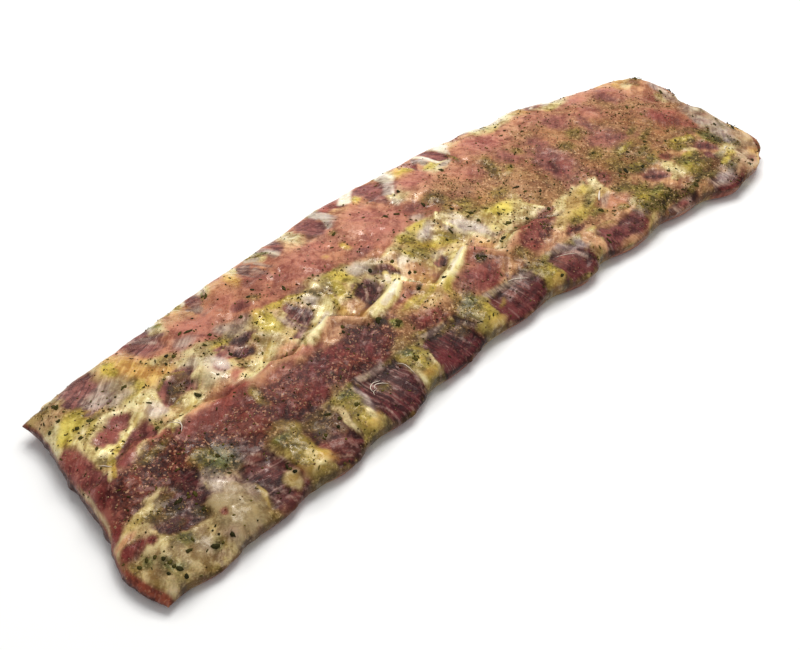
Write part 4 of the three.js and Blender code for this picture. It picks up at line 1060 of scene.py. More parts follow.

# %% [markdown]
# ### Rims and the underside
#
# The rims are painted last, by the distance from each edge: raw cut meat at the ends, fat at the
# ribs. A faint peach line on the front rim is a painted highlight, and the band round the rim is
# painted lighter than the meat above it, as painted light on a wall that is in shade. The
# underside is pale fat with skin and with meat showing through.

# %% Cut ends and the underside
from_near = U * RACK_LENGTH
from_far = (1 - U) * RACK_LENGTH
from_front = V * RACK_WIDTH
from_back = (1 - V) * RACK_WIDTH
rim_wander = 0.5 * noise(Y, Y, 7, 5)
near_pad = smooth(0.2, 0.8, np.cos(2 * np.pi * rib_phase(plan_x, V)))
paint("cream", fall(0.9, 2.0, from_near + rim_wander) * smooth(-34, -26, Y) * fall(-6, 0, Y), 0.8)
paint("rind", fall(0.3, 1.3, from_near + rim_wander))
paint("rind", fall(2.0, 3.6, from_near + rim_wander) * fall(-46, -42, Y))
paint("rind", fall(0.1, 0.8, from_far), 0.7)
paint("rosy", fall(0.1, 0.6, from_back), 0.6)
# Painted highlight: a faint peach line along the front rim, away from the rib pads.
paint("peach", fall(0.1, 0.7, from_front) * drift(6, 61, -0.3, 0.3) * (1 - near_pad), 0.35)
is_under = under > 0.5
beneath = is_under.astype(float)
paint("cream", beneath)
paint("rosy", beneath * drift(34, 62, -0.2, 0.4), 0.85)
near_rim = np.minimum(np.minimum(from_near, from_far), np.minimum(from_front, from_back))
paint("silver", beneath * drift(26, 63, 0.1, 0.5), 0.6)
# Painted light: the band of the underside round the rim is rosy, and cream at the ribs, lighter than the meat
# above it, so that the wall does not read dark in its shade.
side_band = beneath * fall(7, 14, near_rim)
paint("rosy", side_band)
paint("cream", side_band * near_pad * smooth(9, 12, from_near) * smooth(9, 12, from_far), 0.8)
paint("rind", side_band * fall(9, 12, from_near))
print("points under the rack:", int(is_under.sum()))

# %% [markdown]
# ## The relief
#
# The heights of the plan come first, as the solid has them. Then each tissue adds its own form:
# fat swells, windows sink and show their fibres, crumbs stand up. Fibres sweep in arcs through
# the front windows and run straight elsewhere, so each point keeps a number that tells how far
# across the fibres it lies.

# %% Across the fibres
swell, fibrous, crumbly, wet = coating[:, 6:].T
strand = 0.80 * Y - 0.60 * X + 2.0 * noise(X, Y, 14, 19)
for x, y, half_x, half_y, *_ in FRONT_WINDOWS:
    reach = np.hypot(X - x + 0.5 * half_x, Y - y + 1.6 * half_y)
    inside = np.hypot((X - x) / half_x, (Y - y) / half_y) < 1.3
    strand = np.where(inside, reach if x < -90 else 0.95 * X + 0.3 * Y, strand)
back_zone = smooth(34, 40, Y + 0.05 * X)
strand = strand * (1 - back_zone) + (0.94 * X + 0.34 * Y) * back_zone
fibres = noise(strand, 0.10 * (X + Y), 1.5, 20)
print("fibre number from", round(float(strand.min())), "to", round(float(strand.max())))

# %% Height of every point
# The top rounds off to the rim over these distances. At a rib they are shorter by the second number.
FRONT_RADIUS, FRONT_TIGHTER = 11.0, 8.0
BACK_RADIUS, BACK_TIGHTER = 8.0, 4.5
END_RADIUS = 7.0
# How far swollen fat, single fibres and crumbs stand out, and the slow waves of the whole slab.
FAT_HEIGHT = 0.9
FIBRE_HEIGHT = 0.16
CRUMB_HEIGHT = 0.30
WAVE_HEIGHT = 0.45

at_rib = (0.5 + 0.5 * np.cos(2 * np.pi * rib_phase(plan_x, V))) ** 1.5
front_radius = FRONT_RADIUS - FRONT_TIGHTER * at_rib
front_roundness = 1.5 + 0.9 * at_rib
back_radius = BACK_RADIUS - BACK_TIGHTER * at_rib
open_top = opened(U, V, front_radius, back_radius, END_RADIUS, END_RADIUS, front_roundness)
hump = RIB_HUMP * at_rib * smooth(0, HUMP_START, back_line(plan_x) - plan_y)
broad = np.sin(0.19 * plan_x + 0.9) * np.sin(0.23 * plan_y - 0.04 * plan_x + 2.1)
full = (thickness(V) * end_thinning(U) + hump + skirt_relief(plan_x, plan_y)
        + WAVE_HEIGHT * broad + corner_lift(U, V))
full -= window_depth(plan_x, plan_y, V)
tissue = FAT_HEIGHT * swell + 0.26 * noise(X, Y, 5, 30) + 0.12 * noise(X, Y, 2.6, 31)
tissue += FIBRE_HEIGHT * fibrous * fibres + CRUMB_HEIGHT * crumbly * noise(X, Y, 1.5, 32)
rim = rim_height(U, V)
top_z = rim + (full + tissue - rim) * open_top
bottom_z = rim * (1 - opened(U, V, UNDERCUT, UNDERCUT, UNDERCUT, UNDERCUT))
Z = np.where(is_under, bottom_z, top_z)
print("highest point:", round(float(Z.max()), 2), "mm")

# %% Torn edges
# The far front corner is drawn in, because two torn edges that meet there would leave a spike.
CORNER_PULL = 1.7
CORNER_REACH = 7

edge_x = (1 - rise(from_far, 5.0)) - (1 - rise(from_near, 5.0))
edge_y = (1 - rise(from_back, 4.0)) - (1 - rise(from_front, 4.0))
torn = 0.7 * noise(X + Y, Z, 5.0, 40) + 0.35 * noise(X - Y, 2 * Z, 1.9, 41)
far_corner = fall(0, CORNER_REACH, from_far) * fall(0, CORNER_REACH, from_front)
X = X + edge_x * torn - CORNER_PULL * far_corner
Y = Y + edge_y * torn + CORNER_PULL * far_corner
print("edges wander by up to", round(float(np.abs(torn).max()), 2), "mm")

# %% Painted light on crests and painted shade in hollows
EASINGS = 10
shape = (ALONG + 1, ACROSS + 1)


def eased(field, times):
    """The field with each point moved to the mean of its four neighbours, so many times."""
    for _ in range(times):
        padded = np.pad(field, 1, mode="edge")
        field = (padded[:-2, 1:-1] + padded[2:, 1:-1] + padded[1:-1, :-2] + padded[1:-1, 2:]) / 4
    return field


# The height of each point above the mean of its neighbours becomes a mask of painted light and shade: above
# 0.5 a crest is painted lighter, below it a hollow is painted darker.
top_field = Z[:len(top_u)].reshape(shape)
stand = np.zeros(len(X))
stand[:len(top_u)] = (top_field - eased(top_field, EASINGS)).ravel()
painted_shade_mask = np.clip(0.5 + 0.8 * stand, 0, 1)
print("mean height mask:", round(float(painted_shade_mask.mean()), 3))

# %% [markdown]
# ## The mesh
#
# The faces are index arrays: squares on top, larger squares below, and between them a row that
# joins four short rim edges to one long edge. The tissues go in as colour attributes, because a
# shader reads those straight from the points.

# %% Faces of the closed slab
top_index = np.arange(len(top_u)).reshape(shape)
coarse_along, coarse_across = ALONG // COARSE, ACROSS // COARSE
low_index = np.arange(len(low_u)).reshape(coarse_along - 1, coarse_across - 1)
coarse_index = np.full((coarse_along + 1, coarse_across + 1), -1)
coarse_index[1:-1, 1:-1] = len(top_u) + low_index


def squares(index):
    """The four corners of every cell of an index grid, counter-clockwise seen from above."""
    corners = (index[:-1, :-1], index[1:, :-1], index[1:, 1:], index[:-1, 1:])
    return np.stack(corners, -1).reshape(-1, 4)


def joined(rim, inner):
    """Triangles between a fine rim line and a coarse inner line, four rim edges to each inner one."""
    a, b = inner[:-1], inner[1:]
    r = [rim[COARSE + k:len(rim) - 2 * COARSE + k:COARSE] for k in range(COARSE + 1)]
    parts = [(r[0], r[1], a), (r[1], r[2], a), (r[2], b, a), (r[2], r[3], b), (r[3], r[4], b)]
    return np.concatenate([np.stack(part, -1) for part in parts])


def corner(rim, inner):
    """A fan of triangles round one inner corner point, along the rim edges about a corner."""
    return np.stack([rim[:-1], rim[1:], np.full(len(rim) - 1, inner)], -1)


fine_rims = [top_index[::-1, 0], top_index[0, :], top_index[:, -1], top_index[-1, ::-1]]
inner_rims = [coarse_index[-2:0:-1, 1], coarse_index[1, 1:-1],
              coarse_index[1:-1, -2], coarse_index[-2, -2:0:-1]]
triangles = [joined(rim_line, inner) for rim_line, inner in zip(fine_rims, inner_rims)]
for k, inner in enumerate(inner_rims):
    before, after = fine_rims[k - 1], fine_rims[k]
    around = np.concatenate([before[-1 - COARSE:-1], after[:COARSE + 1]])
    triangles.append(corner(around, inner[0]))
triangles = np.concatenate(triangles)
top_squares = squares(top_index)
low_squares = squares(coarse_index[1:-1, 1:-1])[:, ::-1]
print("squares on top:", len(top_squares), "joining triangles:", len(triangles))


# %% Putting arrays into a mesh
def build(name, points, squares4, triangles3, finish, colours=None):
    """A piece from points in millimetres and face arrays. It rides on the body, smoothly shaded."""
    mesh = bpy.data.meshes.new(name)
    mesh.vertices.add(len(points))
    mesh.vertices.foreach_set("co", (MM * points).astype(np.float32).ravel())
    loops = np.concatenate([squares4.ravel(), triangles3.ravel()]).astype(np.int32)
    totals = np.concatenate([np.full(len(squares4), 4), np.full(len(triangles3), 3)]).astype(np.int32)
    mesh.loops.add(len(loops))
    mesh.loops.foreach_set("vertex_index", loops)
    mesh.polygons.add(len(totals))
    mesh.polygons.foreach_set("loop_start", (np.cumsum(totals) - totals).astype(np.int32))
    mesh.polygons.foreach_set("loop_total", totals)
    mesh.polygons.foreach_set("use_smooth", np.ones(len(totals), bool))
    mesh.update(calc_edges=True)
    mesh.validate()
    for label, values in (colours or {}).items():
        attribute = mesh.attributes.new(label, "FLOAT_COLOR", "POINT")
        attribute.data.foreach_set("color", values.astype(np.float32).ravel())
    mesh.materials.append(finish)
    piece = bpy.data.objects.new(name, mesh)
    scene.collection.objects.link(piece)
    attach(piece, "root")
    print(name, "has", int((totals - 2).sum()), "triangles")
    return piece


NO_SQUARES = np.zeros((0, 4), int)

# %% [markdown]
# ## The finish of the meat
#
# One wet material for the whole slab. At each point it moves between the deeper and the lighter
# colour of the tissue there: along fibres where it is fibrous, by small cells where it is crumbly
# and by soft clouds elsewhere. As painted shade, hollows get more of the deeper colour and are
# darkened with brown; as painted light, crests get more of the lighter one.

# %% Wet meat
# How often the fibres and the finer threads repeat in 100 mm across them.
FIBRE_RATE = 62.0
THREAD_RATE = 85.0

meat_finish, meat_shader, mm = new_material("wet_meat", roughness=0.34, bleed=0.05, specular=0.14)


def layers(label):
    """The colour and the fourth number of a colour attribute, as two wires."""
    source = mm.node("Attribute", {"attribute_name": label}, {})
    return source, Wire(source.socket.node.outputs["Alpha"])


light, fibre_share = layers("lighter")
deep, crumb_share = layers("deeper")
# The third attribute holds the place across the fibres, the mask of painted light and shade, and the wetness.
feel_and_shade, wetness = layers("feel_and_shade")
parts = feel_and_shade.node("SeparateColor", {}, {0: feel_and_shade})
across, painted_light_and_shade = (Wire(parts.socket.node.outputs[k]) for k in range(2))

fine_noise = grain(mm, 0.9, 3.0, 0.6)
mid_noise = grain(mm, 3.6, 4.0, 0.6, 0.4)
big_noise = grain(mm, 15.0, 4.0, 0.55, 0.6)
hue_noise = grain(mm + 500.0, 11.0, 4.0, 0.6, 0.6)
fibre_place = mm.node("CombineXYZ", {}, {0: across * FIBRE_RATE, 1: mid_noise * 1.2, 2: big_noise * 2.4})
fibre_inputs = {"Vector": fibre_place, "Scale": 1.0, "Detail": 4.0, "Roughness": 0.6}
fibre_noise = fibre_place.node("TexNoise", {}, fibre_inputs)
cells = mm.node("TexVoronoi", {"feature": "F1"}, {"Vector": mm, "Scale": 1.3, "Randomness": 1.0})
cell_pick = Wire(cells.socket.node.outputs["Color"])
cell_number = cell_pick.node("SeparateColor", {}, {0: cell_pick})

soft = ramp(big_noise * 0.5 + mid_noise * 0.35 + fine_noise * 0.15, 0.37, 0.63)
stringy = ramp(fibre_noise * 0.55 + mid_noise * 0.25 + big_noise * 0.2, 0.38, 0.62)
granule = ramp(cell_number, 0.74, 0.9)
crusty = ramp(mid_noise * 0.45 + fine_noise * 0.35 + big_noise * 0.2, 0.38, 0.62, 0.08, 0.62) + granule * 0.5
thread_place = mm.node("CombineXYZ", {}, {0: across * THREAD_RATE, 1: mid_noise * 2.2, 2: big_noise * 3.0})
thread_noise = thread_place.node("TexNoise", {}, {"Vector": thread_place, "Scale": 1.0, "Detail": 1.0})
threads = ramp(thread_noise, 0.56, 0.66) * ramp(mid_noise, 0.42, 0.56) * fibre_share


def blend(factor, first, second):
    """A number that goes from first to second as the factor goes from 0 to 1."""
    return first + (second - first) * factor


share = blend(fibre_share, soft, stringy)
share = blend(crumb_share, share, crusty)
# Painted light and shade: crests move towards the lighter colour, hollows towards the deeper one.
share = share + (painted_light_and_shade - 0.5) * 0.7
colour = mixed(ramp(share, 0.0, 1.0), deep, light)
glaze = ramp(hue_noise, 0.42, 0.62, 0.0, 0.3)
colour = mixed(glaze, colour, tint("fff0a0"), "MULTIPLY")
blush = ramp(hue_noise, 0.50, 0.36, 0.0, 0.25)
colour = mixed(blush, colour, tint("ffc8b0"), "MULTIPLY")
colour = mixed(threads * fibre_share * 0.35, colour, tint("dcb8ac"))
speck = ramp(fine_noise, 0.64, 0.72) * crumb_share
colour = mixed(speck * 0.2, colour, tint("4a3618"))
fleck = ramp(cell_number, 0.87, 0.93) * ramp(fine_noise, 0.4, 0.5) * crumb_share
colour = mixed(fleck * 0.4, colour, tint("e8c49c"))
# Painted shade: hollows are darkened further with dark brown.
colour = mixed(ramp(painted_light_and_shade, 0.42, 0.12, 0.0, 0.35), colour, tint("5a3020"), "MULTIPLY")

dullness = 0.56 - wetness * 0.26 + (mid_noise - 0.5) * 0.3
gloss = wetness * ramp(mid_noise * 0.6 + hue_noise * 0.4, 0.48, 0.60, 0.0, 0.8)
height = fine_noise * 0.35 + crumb_share * granule * 0.5 + fibre_share * fibre_noise * 0.8 + mid_noise * 0.9
plug(meat_shader, base_color=colour, roughness=dullness, coat_weight=gloss, normal=bumped(height, 0.5))
print("meat finish has", len(meat_finish.node_tree.nodes), "nodes")

# %% The slab of meat
points = np.stack([X, Y, Z], -1)
packs = {
    "lighter": np.concatenate([coating[:, 0:3], fibrous[:, None]], 1),
    "deeper": np.concatenate([coating[:, 3:6], crumbly[:, None]], 1),
    # Its second number is the mask of painted light and shade from the hollows and crests.
    "feel_and_shade": np.stack([strand / 100, painted_shade_mask, np.zeros_like(wet), wet], -1),
}
all_squares = np.concatenate([top_squares, low_squares])
meat = build("meat", points, all_squares, triangles, meat_finish, packs)
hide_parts("rib_meat")

# %% [markdown]
# ## The rib bones
#
# Each rib is a flat oval bar that arches a little inside the meat. Its sawn end shows at the back
# edge: a rim of hard pale bone round a darker, spongy core. The front end lies under a pad of fat. A
# profile carried along the rib's middle line makes the bar, and a few smaller rings and a middle
# point close each end.

# %% Bone
bone_finish, bone_shader, bone_mm = new_material("sawn_bone", roughness=0.4, coat=0.15, bleed=0.1)
core_source = bone_mm.node("Attribute", {"attribute_name": "core"}, {})
core = core_source.node("SeparateColor", {}, {0: core_source})
bone_noise = grain(bone_mm, 2.4, 4.0, 0.6)
sponge = grain(bone_mm, 0.7, 2.0, 0.5)
hard = mixed(bone_noise, tint("c9ac7a"), tint("e6d7ac"))
marrow = mixed(ramp(sponge, 0.4, 0.6), tint("8c4c3c"), tint("c98f70"))
bone_colour = mixed(core * ramp(bone_noise, 0.2, 0.6), hard, marrow)
plug(bone_shader, base_color=bone_colour, normal=bumped(sponge, 0.2))
print("bone finish has", len(bone_finish.node_tree.nodes), "nodes")

# %% Bars of bone
BONE_SIDES = 28
BONE_STEPS = 26
BONE_ROUNDNESS = 2.4
HALF_WIDTH = 5.6
FRONT_FLARE = 1.6
HALF_HEIGHT = 2.7
SWELL = 1.3
BACK_THINNING = 0.7
# How far inside the front edge the ribs end, in millimetres.
FRONT_COVER = 1.3
CAP_RINGS = np.array([1.0, 0.93, 0.72, 0.4])
CAP_OUT = np.array([0.0, 0.25, 0.4, 0.4])


def blunt(w):
    """A cosine or a sine, raised so that the two draw a superellipse instead of a circle."""
    return np.sign(w) * np.abs(w) ** (2 / BONE_ROUNDNESS)


def arch(level):
    """Height of a rib's middle line, which rises from the front edge and sinks a little at the back."""
    return 5.2 + 2.2 * level - 0.8 * level ** 3 + 5 * level * (1 - level)


def bone_ring(k, share, level, shrink, out):
    """One ring of a rib: a flattened superellipse across its middle line, which arches upwards."""
    front = np.array([RIB_FRONT[k], front_line(RIB_FRONT[k:k + 1])[0] + FRONT_SCALLOP / 2 + FRONT_COVER])
    back = np.array([RIB_BACK[k], back_line(RIB_BACK[k:k + 1])[0]])
    way = (back - front) / np.linalg.norm(back - front)
    angle = 2 * np.pi * (np.arange(BONE_SIDES) + 0.5) / BONE_SIDES
    wide = (HALF_WIDTH + FRONT_FLARE * (1 - level) ** 3)[:, None] * blunt(np.cos(angle)) * shrink[:, None]
    fuller = SWELL * np.sqrt(np.sin(np.pi * np.clip(level * 0.9 + 0.02, 0, 1)))
    half_height = HALF_HEIGHT + fuller - BACK_THINNING * level ** 3
    high = half_height[:, None] * blunt(np.sin(angle)) * shrink[:, None]
    middle = front + (back - front) * share[:, None] + way * out[:, None]
    x = middle[:, :1] + way[1] * wide
    y = middle[:, 1:] - way[0] * wide
    z = arch(level)[:, None] + high
    return np.stack([x - MIDDLE[0], y - MIDDLE[1], z], -1)


def bone_bar(k):
    """All rings of one rib, from the front cap to the back cap, with how far into the core each is."""
    level = np.linspace(0, 1, BONE_STEPS)
    ends = np.ones(len(CAP_RINGS) - 1)
    levels = np.concatenate([0 * ends, level, ends])
    shrink = np.concatenate([CAP_RINGS[:0:-1], np.ones(BONE_STEPS), CAP_RINGS[1:]])
    out = np.concatenate([-CAP_OUT[:0:-1], np.zeros(BONE_STEPS), CAP_OUT[1:]])
    rings = bone_ring(k, levels, levels, shrink, out)
    return rings, fall(0.55, 0.85, shrink)


def tube_faces(rings, sides):
    """Squares between neighbouring rings, each closed on itself, and a fan for each end."""
    index = np.arange(rings * sides).reshape(rings, sides)
    ahead = np.roll(index, -1, axis=1)
    walls = np.stack([index[:-1], index[1:], ahead[1:], ahead[:-1]], -1).reshape(-1, 4)
    first, last = rings * sides, rings * sides + 1
    start = np.stack([index[0], ahead[0], np.full(sides, first)], -1)
    finish = np.stack([ahead[-1], index[-1], np.full(sides, last)], -1)
    return walls, np.concatenate([start, finish])


for k in range(len(RIB_FRONT)):
    rings, coreness = bone_bar(k)
    walls, caps = tube_faces(len(rings), BONE_SIDES)
    tips = np.stack([rings[0].mean(0), rings[-1].mean(0)])
    bone_points = np.concatenate([rings.reshape(-1, 3), tips])
    inner = np.concatenate([np.repeat(coreness, BONE_SIDES), [1, 1]])
    core_pack = {"core": np.stack([inner, inner, inner, inner * 0 + 1], -1)}
    bone = build(f"rib_{k + 1}", bone_points, walls, caps, bone_finish, core_pack)
    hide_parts(f"rib_bone_{k + 1}")

# %% [markdown]
# ## The herb rub
#
# Dried leaves, crumbs of spice and golden granules lie on the meat. Each kind is one mesh with
# many small closed bodies, made at once: one small shape is repeated by arrays, and every copy
# is turned, bent and sized by random numbers. A copy sits in a random cell of the meat's grid, so
# it lies exactly on the surface and leans as the surface does.

# %% Finding places on the meat
top_points = points[:len(top_u)].reshape(*shape, 3)
dice = np.random.default_rng(41)


def seats_at(i, j, s, t):
    """Points and directions at shares s and t of the cells i, j: the blend of their four corners."""
    a, b = top_points[i, j], top_points[i + 1, j]
    c, d = top_points[i + 1, j + 1], top_points[i, j + 1]
    s, t = s[:, None], t[:, None]
    place = (a * (1 - s) + b * s) * (1 - t) + (d * (1 - s) + c * s) * t
    up = np.cross(c - a, d - b)
    return place, up / np.linalg.norm(up, axis=1, keepdims=True)


def random_seats(count, weight):
    """So many random cells, each as likely as its weight times its area."""
    a, c = top_points[:-1, :-1], top_points[1:, 1:]
    area = np.abs((c - a)[..., 0] * (c - a)[..., 1])
    odds = (weight[:-1, :-1] * area).ravel()
    pick = dice.choice(odds.size, count, p=odds / odds.sum())
    i, j = np.unravel_index(pick, area.shape)
    return seats_at(i, j, dice.random(count), dice.random(count))


def seats_near(spots):
    """The cells under given places of the plan: first the shares of the way, then the grid lines."""
    x = spots[:, 0] + MIDDLE[0]
    y = spots[:, 1] + MIDDLE[1]
    v = (y - front_line(x)) / (back_line(x) - front_line(x))
    u = (x - near_end(v)) / (far_end(v) - near_end(v))
    i = np.clip(np.searchsorted(u_lines, u) - 1, 0, ALONG - 1)
    j = np.clip(np.searchsorted(v_lines, v) - 1, 0, ACROSS - 1)
    half = np.full(len(x), 0.5)
    return seats_at(i, j, half, half)


def frames(up, turn):
    """Two directions in the plane across up, the first turned by an angle about it."""
    side = np.stack([np.cos(turn), np.sin(turn), np.zeros_like(turn)], -1)
    side = side - up * (side * up).sum(1, keepdims=True)
    side = side / np.linalg.norm(side, axis=1, keepdims=True)
    return side, np.cross(up, side)


print("cells to choose from:", ALONG * ACROSS)

# %% One leaf, many leaves
LEAF_CORNERS = 8
LEAF_LIFT = 0.12
LEAF_HALF = 0.06


def leaf_bodies(place, up, length, width, curl):
    """Leaves: an uneven ring of corners and a middle, once above and once below, joined at the sides.
    Each corner is lifted by the square of its place along the leaf, so that the leaf curls."""
    count = len(place)
    side, ahead = frames(up, dice.uniform(0, 2 * np.pi, count))
    angle = 2 * np.pi * np.arange(LEAF_CORNERS) / LEAF_CORNERS
    reach = dice.uniform(0.6, 1.2, (count, LEAF_CORNERS))
    p = np.concatenate([reach * np.cos(angle), np.zeros((count, 1))], 1)
    q = np.concatenate([reach * np.sin(angle), np.zeros((count, 1))], 1)
    lift_up = curl[:, None] * (p ** 2 - 0.3) + 0.25 * curl[:, None] * q * np.sign(q)
    flat = (side[:, None] * (p * length[:, None])[..., None]
            + ahead[:, None] * (q * width[:, None])[..., None] + place[:, None])
    above = flat + up[:, None] * (lift_up + LEAF_LIFT + LEAF_HALF)[..., None]
    below = flat + up[:, None] * (lift_up + LEAF_LIFT - LEAF_HALF)[..., None]
    return np.concatenate([above, below], 1)


def leaf_faces(count):
    """Fans above and below and squares round the side, repeated for each leaf."""
    n = LEAF_CORNERS
    ring = np.arange(n)
    ahead = np.roll(ring, -1)
    above = np.stack([ring, ahead, np.full(n, n)], -1)
    below = np.stack([ahead + n + 1, ring + n + 1, np.full(n, 2 * n + 1)], -1)
    sides = np.stack([ring, ring + n + 1, ahead + n + 1, ahead], -1)
    offset = (np.arange(count) * (2 * n + 2))[:, None, None]
    fans = np.concatenate([above, below])[None] + offset
    return (sides[None] + offset).reshape(-1, 4), fans.reshape(-1, 3)


def copied_colours(colours, repeats):
    """One colour for each body, repeated for its points."""
    rgba = np.concatenate([colours, np.ones((len(colours), 1))], 1)
    return {"leaf": np.repeat(rgba, repeats, axis=0)}


def blended_colours(count, first, second):
    """Random colours between two tints, one for each body."""
    share = dice.random(count)[:, None]
    return LIGHT * (np.array(tint(first)[:3]) * (1 - share) + np.array(tint(second)[:3]) * share)


def scatter_finish(name, roughness):
    """A finish that takes each body's own colour and mottles it a little."""
    finish, shader, place = new_material(name, roughness=roughness, specular=0.1)
    source = place.node("Attribute", {"attribute_name": "leaf"}, {})
    mottle = ramp(grain(place, 0.6), 0.35, 0.65, 0.5, 1.0)
    plug(shader, base_color=mixed(mottle, tint("1c1a0c"), source), normal=bumped(grain(place, 0.5), 0.15))
    return finish


leaf_finish = scatter_finish("dried_leaf", 0.7)
crumb_finish = scatter_finish("spice_crumb", 0.6)
print("leaf corners:", LEAF_CORNERS)

# %% Large leaves where they lie
# The large leaves lie flat or nearly so. Those at the far end curl up and stand out past the edge.
BIG_LEAVES = np.array([
    (-172.6, 36), (-172.4, 34.5), (-172.3, 33), (-181.5, 27.5), (-176, 28), (-174, 17), (-169, 18),
    (-176, 11), (-176, 3), (-150, -3), (-153, -5), (-130, 0), (-148, 22), (-147, 8), (-114, 32),
    (-110, 31), (-104, 23), (-112, 17), (-88, 48), (-87, 47), (-78, 29), (-73, 33), (-88, 22),
    (-51, -22), (-50, -21), (-44, -27), (-45, -28), (-65, -15), (-63, -14), (-22, -18), (14, -20),
    (13, -21), (15, -22), (77, 15), (66, -18), (147, 31), (136, 26), (164, 10), (118, -4), (146, -15),
    (116, -22), (160, -24), (155, -20), (119, -24), (136, -18), (-128, 23), (-124, 23), (-62, 25),
    (-20, 38), (26, 25), (32, 13), (36, 3), (24, 40), (53, 39), (67, 3), (68, -2), (74, -7), (45, -16),
    (54, -15), (99, 54), (102, 46), (98, 40), (101, 40), (45, -11), (44, 2), (-190, -50), (-189, -53),
    (-188, -56), (-188, -59), (-187, -61), (-191, -60), (-195, -49), (-192, -48), (-180, -57),
    (-175, -53), (-171, -60), (-186, -64), (-164, -61), (-162, -39), (-164, -45), (-168, -37),
    (-107, -49), (-99, -42), (-97, -46), (-101, -49), (-88, -47), (-52, -45), (6, 30), (11, 29),
    (-16, 5), (-13, -7), (-15, -5), (-20, -9), (-18, -16), (-11, -23), (16, 0), (20, 3), (34, -3),
    (31, -19), (33, -18), (27, -23), (35, -51), (73, -48), (71, -50), (110, -50), (113, -51),
    (104, -48), (137, -53), (139, -52), (121, -48), (126, -46), (135, -38), (129, -27), (83, -34),
    (85, -35), (90, -38), (165, -56), (174, -59), (182, -57), (178, -35), (195, -35), (191, -27),
    (185, 6), (192, 9), (-146, -32), (-142, -34), (-149, 23), (-129, -53), (-128, -51), (-128, -56),
    (-125, 25), (-105, 9), (-26, 9),
])
EDGE_LEAVES = np.array([
    (193, 39), (191.6, 40), (192.4, 37.6), (197.6, 29), (198, 31), (197, 27), (198.6, 26), (199, 7),
    (199.4, 4.6), (199.2, 2), (198.6, 0), (199, 8.6), (198.2, -31), (198, -34), (197.6, -37),
    (199, -27),
])
ALL_LEAVES = np.concatenate([BIG_LEAVES, EDGE_LEAVES])
LEAF_SCATTER = 0.4
LEAF_POINTS = 2 * LEAF_CORNERS + 2
big_place, big_up = seats_near(ALL_LEAVES + dice.normal(0, LEAF_SCATTER, ALL_LEAVES.shape))
big_count = len(ALL_LEAVES)
big_curl = dice.uniform(0.0, 0.35, big_count) + np.repeat([0.0, 0.8], [len(BIG_LEAVES), len(EDGE_LEAVES)])
big_leaves = leaf_bodies(big_place, big_up, 0.9 + 1.3 * dice.random(big_count) ** 2,
                         dice.uniform(0.6, 1.1, big_count), big_curl)
sides4, fans3 = leaf_faces(big_count)
big_colours = copied_colours(blended_colours(big_count, "24240c", "5c561e"), LEAF_POINTS)
large = build("large_leaves", big_leaves.reshape(-1, 3), sides4, fans3, leaf_finish, big_colours)
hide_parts("rib_meat")

# %% Small leaves everywhere
SMALL_LEAVES = 1000
away_from_rims = opened(U, V, 4.0, 6.0, 4.0, 4.0)
clumped = away_from_rims * (0.2 + 0.8 * drift(5, 70, -0.1, 0.35))
leaf_weight = (0.05 + 1.2 * crumbly * (1 - 0.7 * skirt * (X < -30)) + 0.3 * middle) * clumped
leaf_field = leaf_weight[:len(top_u)].reshape(shape)
small_place, small_up = random_seats(SMALL_LEAVES, leaf_field)
small_leaves = leaf_bodies(small_place, small_up, 0.35 + 0.75 * dice.random(SMALL_LEAVES) ** 2,
                           dice.uniform(0.25, 0.5, SMALL_LEAVES), dice.uniform(0.0, 0.2, SMALL_LEAVES))
sides4, fans3 = leaf_faces(SMALL_LEAVES)
small_colours = copied_colours(blended_colours(SMALL_LEAVES, "2c2a0e", "80722c"), LEAF_POINTS)
small = build("small_leaves", small_leaves.reshape(-1, 3), sides4, fans3, leaf_finish, small_colours)

# %% Crumbs and granules
CRUMB_SHAPE = np.array([(1, 0, 0), (0, 1, 0), (-1, 0, 0), (0, -1, 0), (0, 0, 1), (0, 0, -1)], float)
CRUMB_FACES = np.array([(0, 1, 4), (1, 2, 4), (2, 3, 4), (3, 0, 4),
                        (1, 0, 5), (2, 1, 5), (3, 2, 5), (0, 3, 5)])


def crumb_bodies(place, up, size):
    """Crumbs: an eight-sided stone for each place, stretched by random numbers along three directions."""
    count = len(place)
    side, ahead = frames(up, dice.uniform(0, 2 * np.pi, count))
    axes = np.stack([side, ahead, 0.7 * up], 1)
    stretch = dice.uniform(0.6, 1.3, (count, len(CRUMB_SHAPE), 1)) * size[:, None, None]
    return place[:, None] + 0.25 * size[:, None, None] * up[:, None] + (CRUMB_SHAPE * stretch) @ axes


def scatter_crumbs(name, count, weight, smallest, largest, first, second):
    """One piece of crumbs with its own sizes, colours and favourite places."""
    place, up = random_seats(count, weight)
    size = smallest + (largest - smallest) * dice.random(count) ** 2
    bodies = crumb_bodies(place, up, size)
    faces = (CRUMB_FACES[None] + (np.arange(count) * len(CRUMB_SHAPE))[:, None, None]).reshape(-1, 3)
    colours = copied_colours(blended_colours(count, first, second), len(CRUMB_SHAPE))
    piece = build(name, bodies.reshape(-1, 3), NO_SQUARES, faces, crumb_finish, colours)


crumb_weight = crumbly * away_from_rims * (0.6 + 0.4 * (X > 20)) * (1 - 0.4 * skirt * (X < -30))
crumb_field = crumb_weight[:len(top_u)].reshape(shape)
scatter_crumbs("golden_granules", 5400, crumb_field, 0.15, 0.46, "946c48", "dcbc90")
scatter_crumbs("dark_crumbs", 600, leaf_field, 0.2, 0.6, "2a2210", "5a4420")
scatter_crumbs("chilli_crumbs", 260, leaf_field, 0.25, 0.6, "5a2413", "8a4a1e")

# %% [markdown]
# ## Torn strands
#
# Where the membrane was pulled off, thin white strands of it curl over the meat. Each one is a
# tube along a smooth curve through a few places, which follows the surface and thins to its ends.

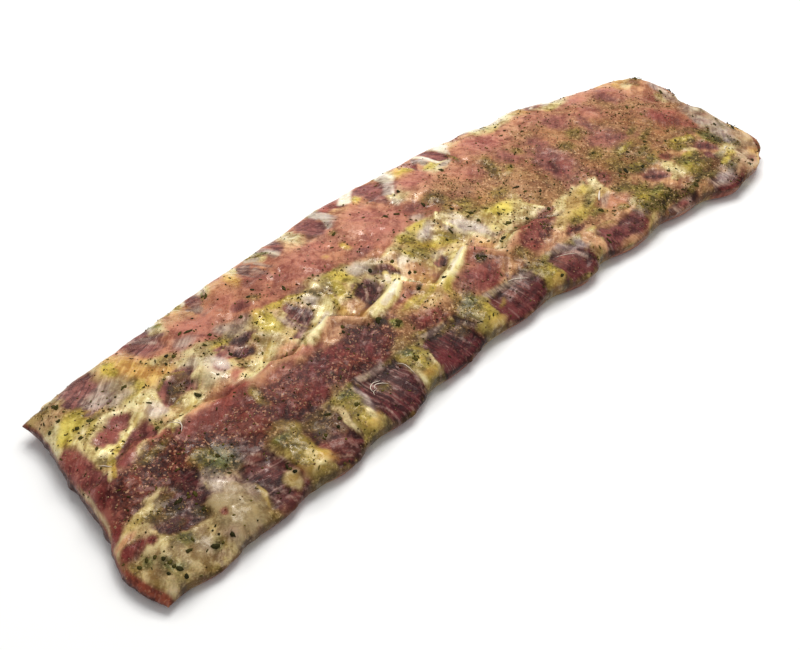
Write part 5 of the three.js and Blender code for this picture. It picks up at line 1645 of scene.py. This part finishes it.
# %% Thin tubes over the meat
# Each strand: its radius, and the places along it.
STRANDS = [
    (0.22, [(-77, -45), (-76, -42.6), (-73, -41.2), (-70, -42)]),
    (0.2, [(-75, -44), (-73, -42.4), (-70.5, -43.6), (-69, -46)]),
    (0.16, [(-78, -47), (-76.5, -45), (-74.5, -44.6)]),
    (0.14, [(-59, -40), (-57.4, -44), (-57.6, -50)]),
    (0.18, [(14, -37.4), (19, -39), (22.4, -42)]),
    (0.14, [(44, -40.6), (50, -42.6), (54, -45)]),
    (0.2, [(-150, -8), (-147, -12), (-149, -15)]),
    (0.16, [(-149, -7), (-146.5, -10), (-147, -13)]),
    (0.55, [(89, -30), (92.4, -27.4), (96, -25)]),
    (0.3, [(171, -46), (173.4, -45), (176, -44.6)]),
    (0.18, [(-180, -4), (-178, -6), (-177, -9)]),
]
STRAND_RINGS = 16
STRAND_SIDES = 6


def strand_tube(radius, route):
    """Rings round a smooth curve through the places of a route, and the two tips."""
    knots = np.array(route, float)
    order = np.arange(len(knots))
    t = np.linspace(0, len(knots) - 1, STRAND_RINGS)
    spots = np.stack([through(np.stack([order, knots[:, k]], -1))(t) for k in (0, 1)], -1)
    ground = np.pad(seats_near(spots)[0][:, 2], 2, mode="edge")
    level = np.convolve(ground, np.full(5, 0.2), "valid") + radius
    line = np.column_stack([spots, level])
    way = np.gradient(line, axis=0)
    side = np.cross(way, [0, 0, 1])
    side = side / np.linalg.norm(side, axis=1, keepdims=True)
    top = np.cross(side, way)
    top = top / np.linalg.norm(top, axis=1, keepdims=True)
    thin = radius * (0.3 + 0.7 * np.sin(np.pi * np.linspace(0, 1, STRAND_RINGS)))[:, None, None]
    angle = 2 * np.pi * np.arange(STRAND_SIDES) / STRAND_SIDES
    round_it = np.cos(angle)[:, None] * side[:, None] + np.sin(angle)[:, None] * top[:, None]
    rings = line[:, None] + thin * round_it
    return np.concatenate([rings.reshape(-1, 3), line[:1], line[-1:]])


tubes = np.stack([strand_tube(radius, route) for radius, route in STRANDS])
walls, caps = tube_faces(STRAND_RINGS, STRAND_SIDES)
first_point = (np.arange(len(STRANDS)) * tubes.shape[1])[:, None, None]
strand_finish, strand_shader, strand_mm = new_material("torn_membrane", roughness=0.35, coat=0.2)
plug(strand_shader, base_color=mixed(grain(strand_mm, 2.0), tint("c8b4a4"), tint("f0e8da")))
strands = build("torn_strands", tubes.reshape(-1, 3), (walls[None] + first_point).reshape(-1, 4),
                (caps[None] + first_point).reshape(-1, 3), strand_finish)
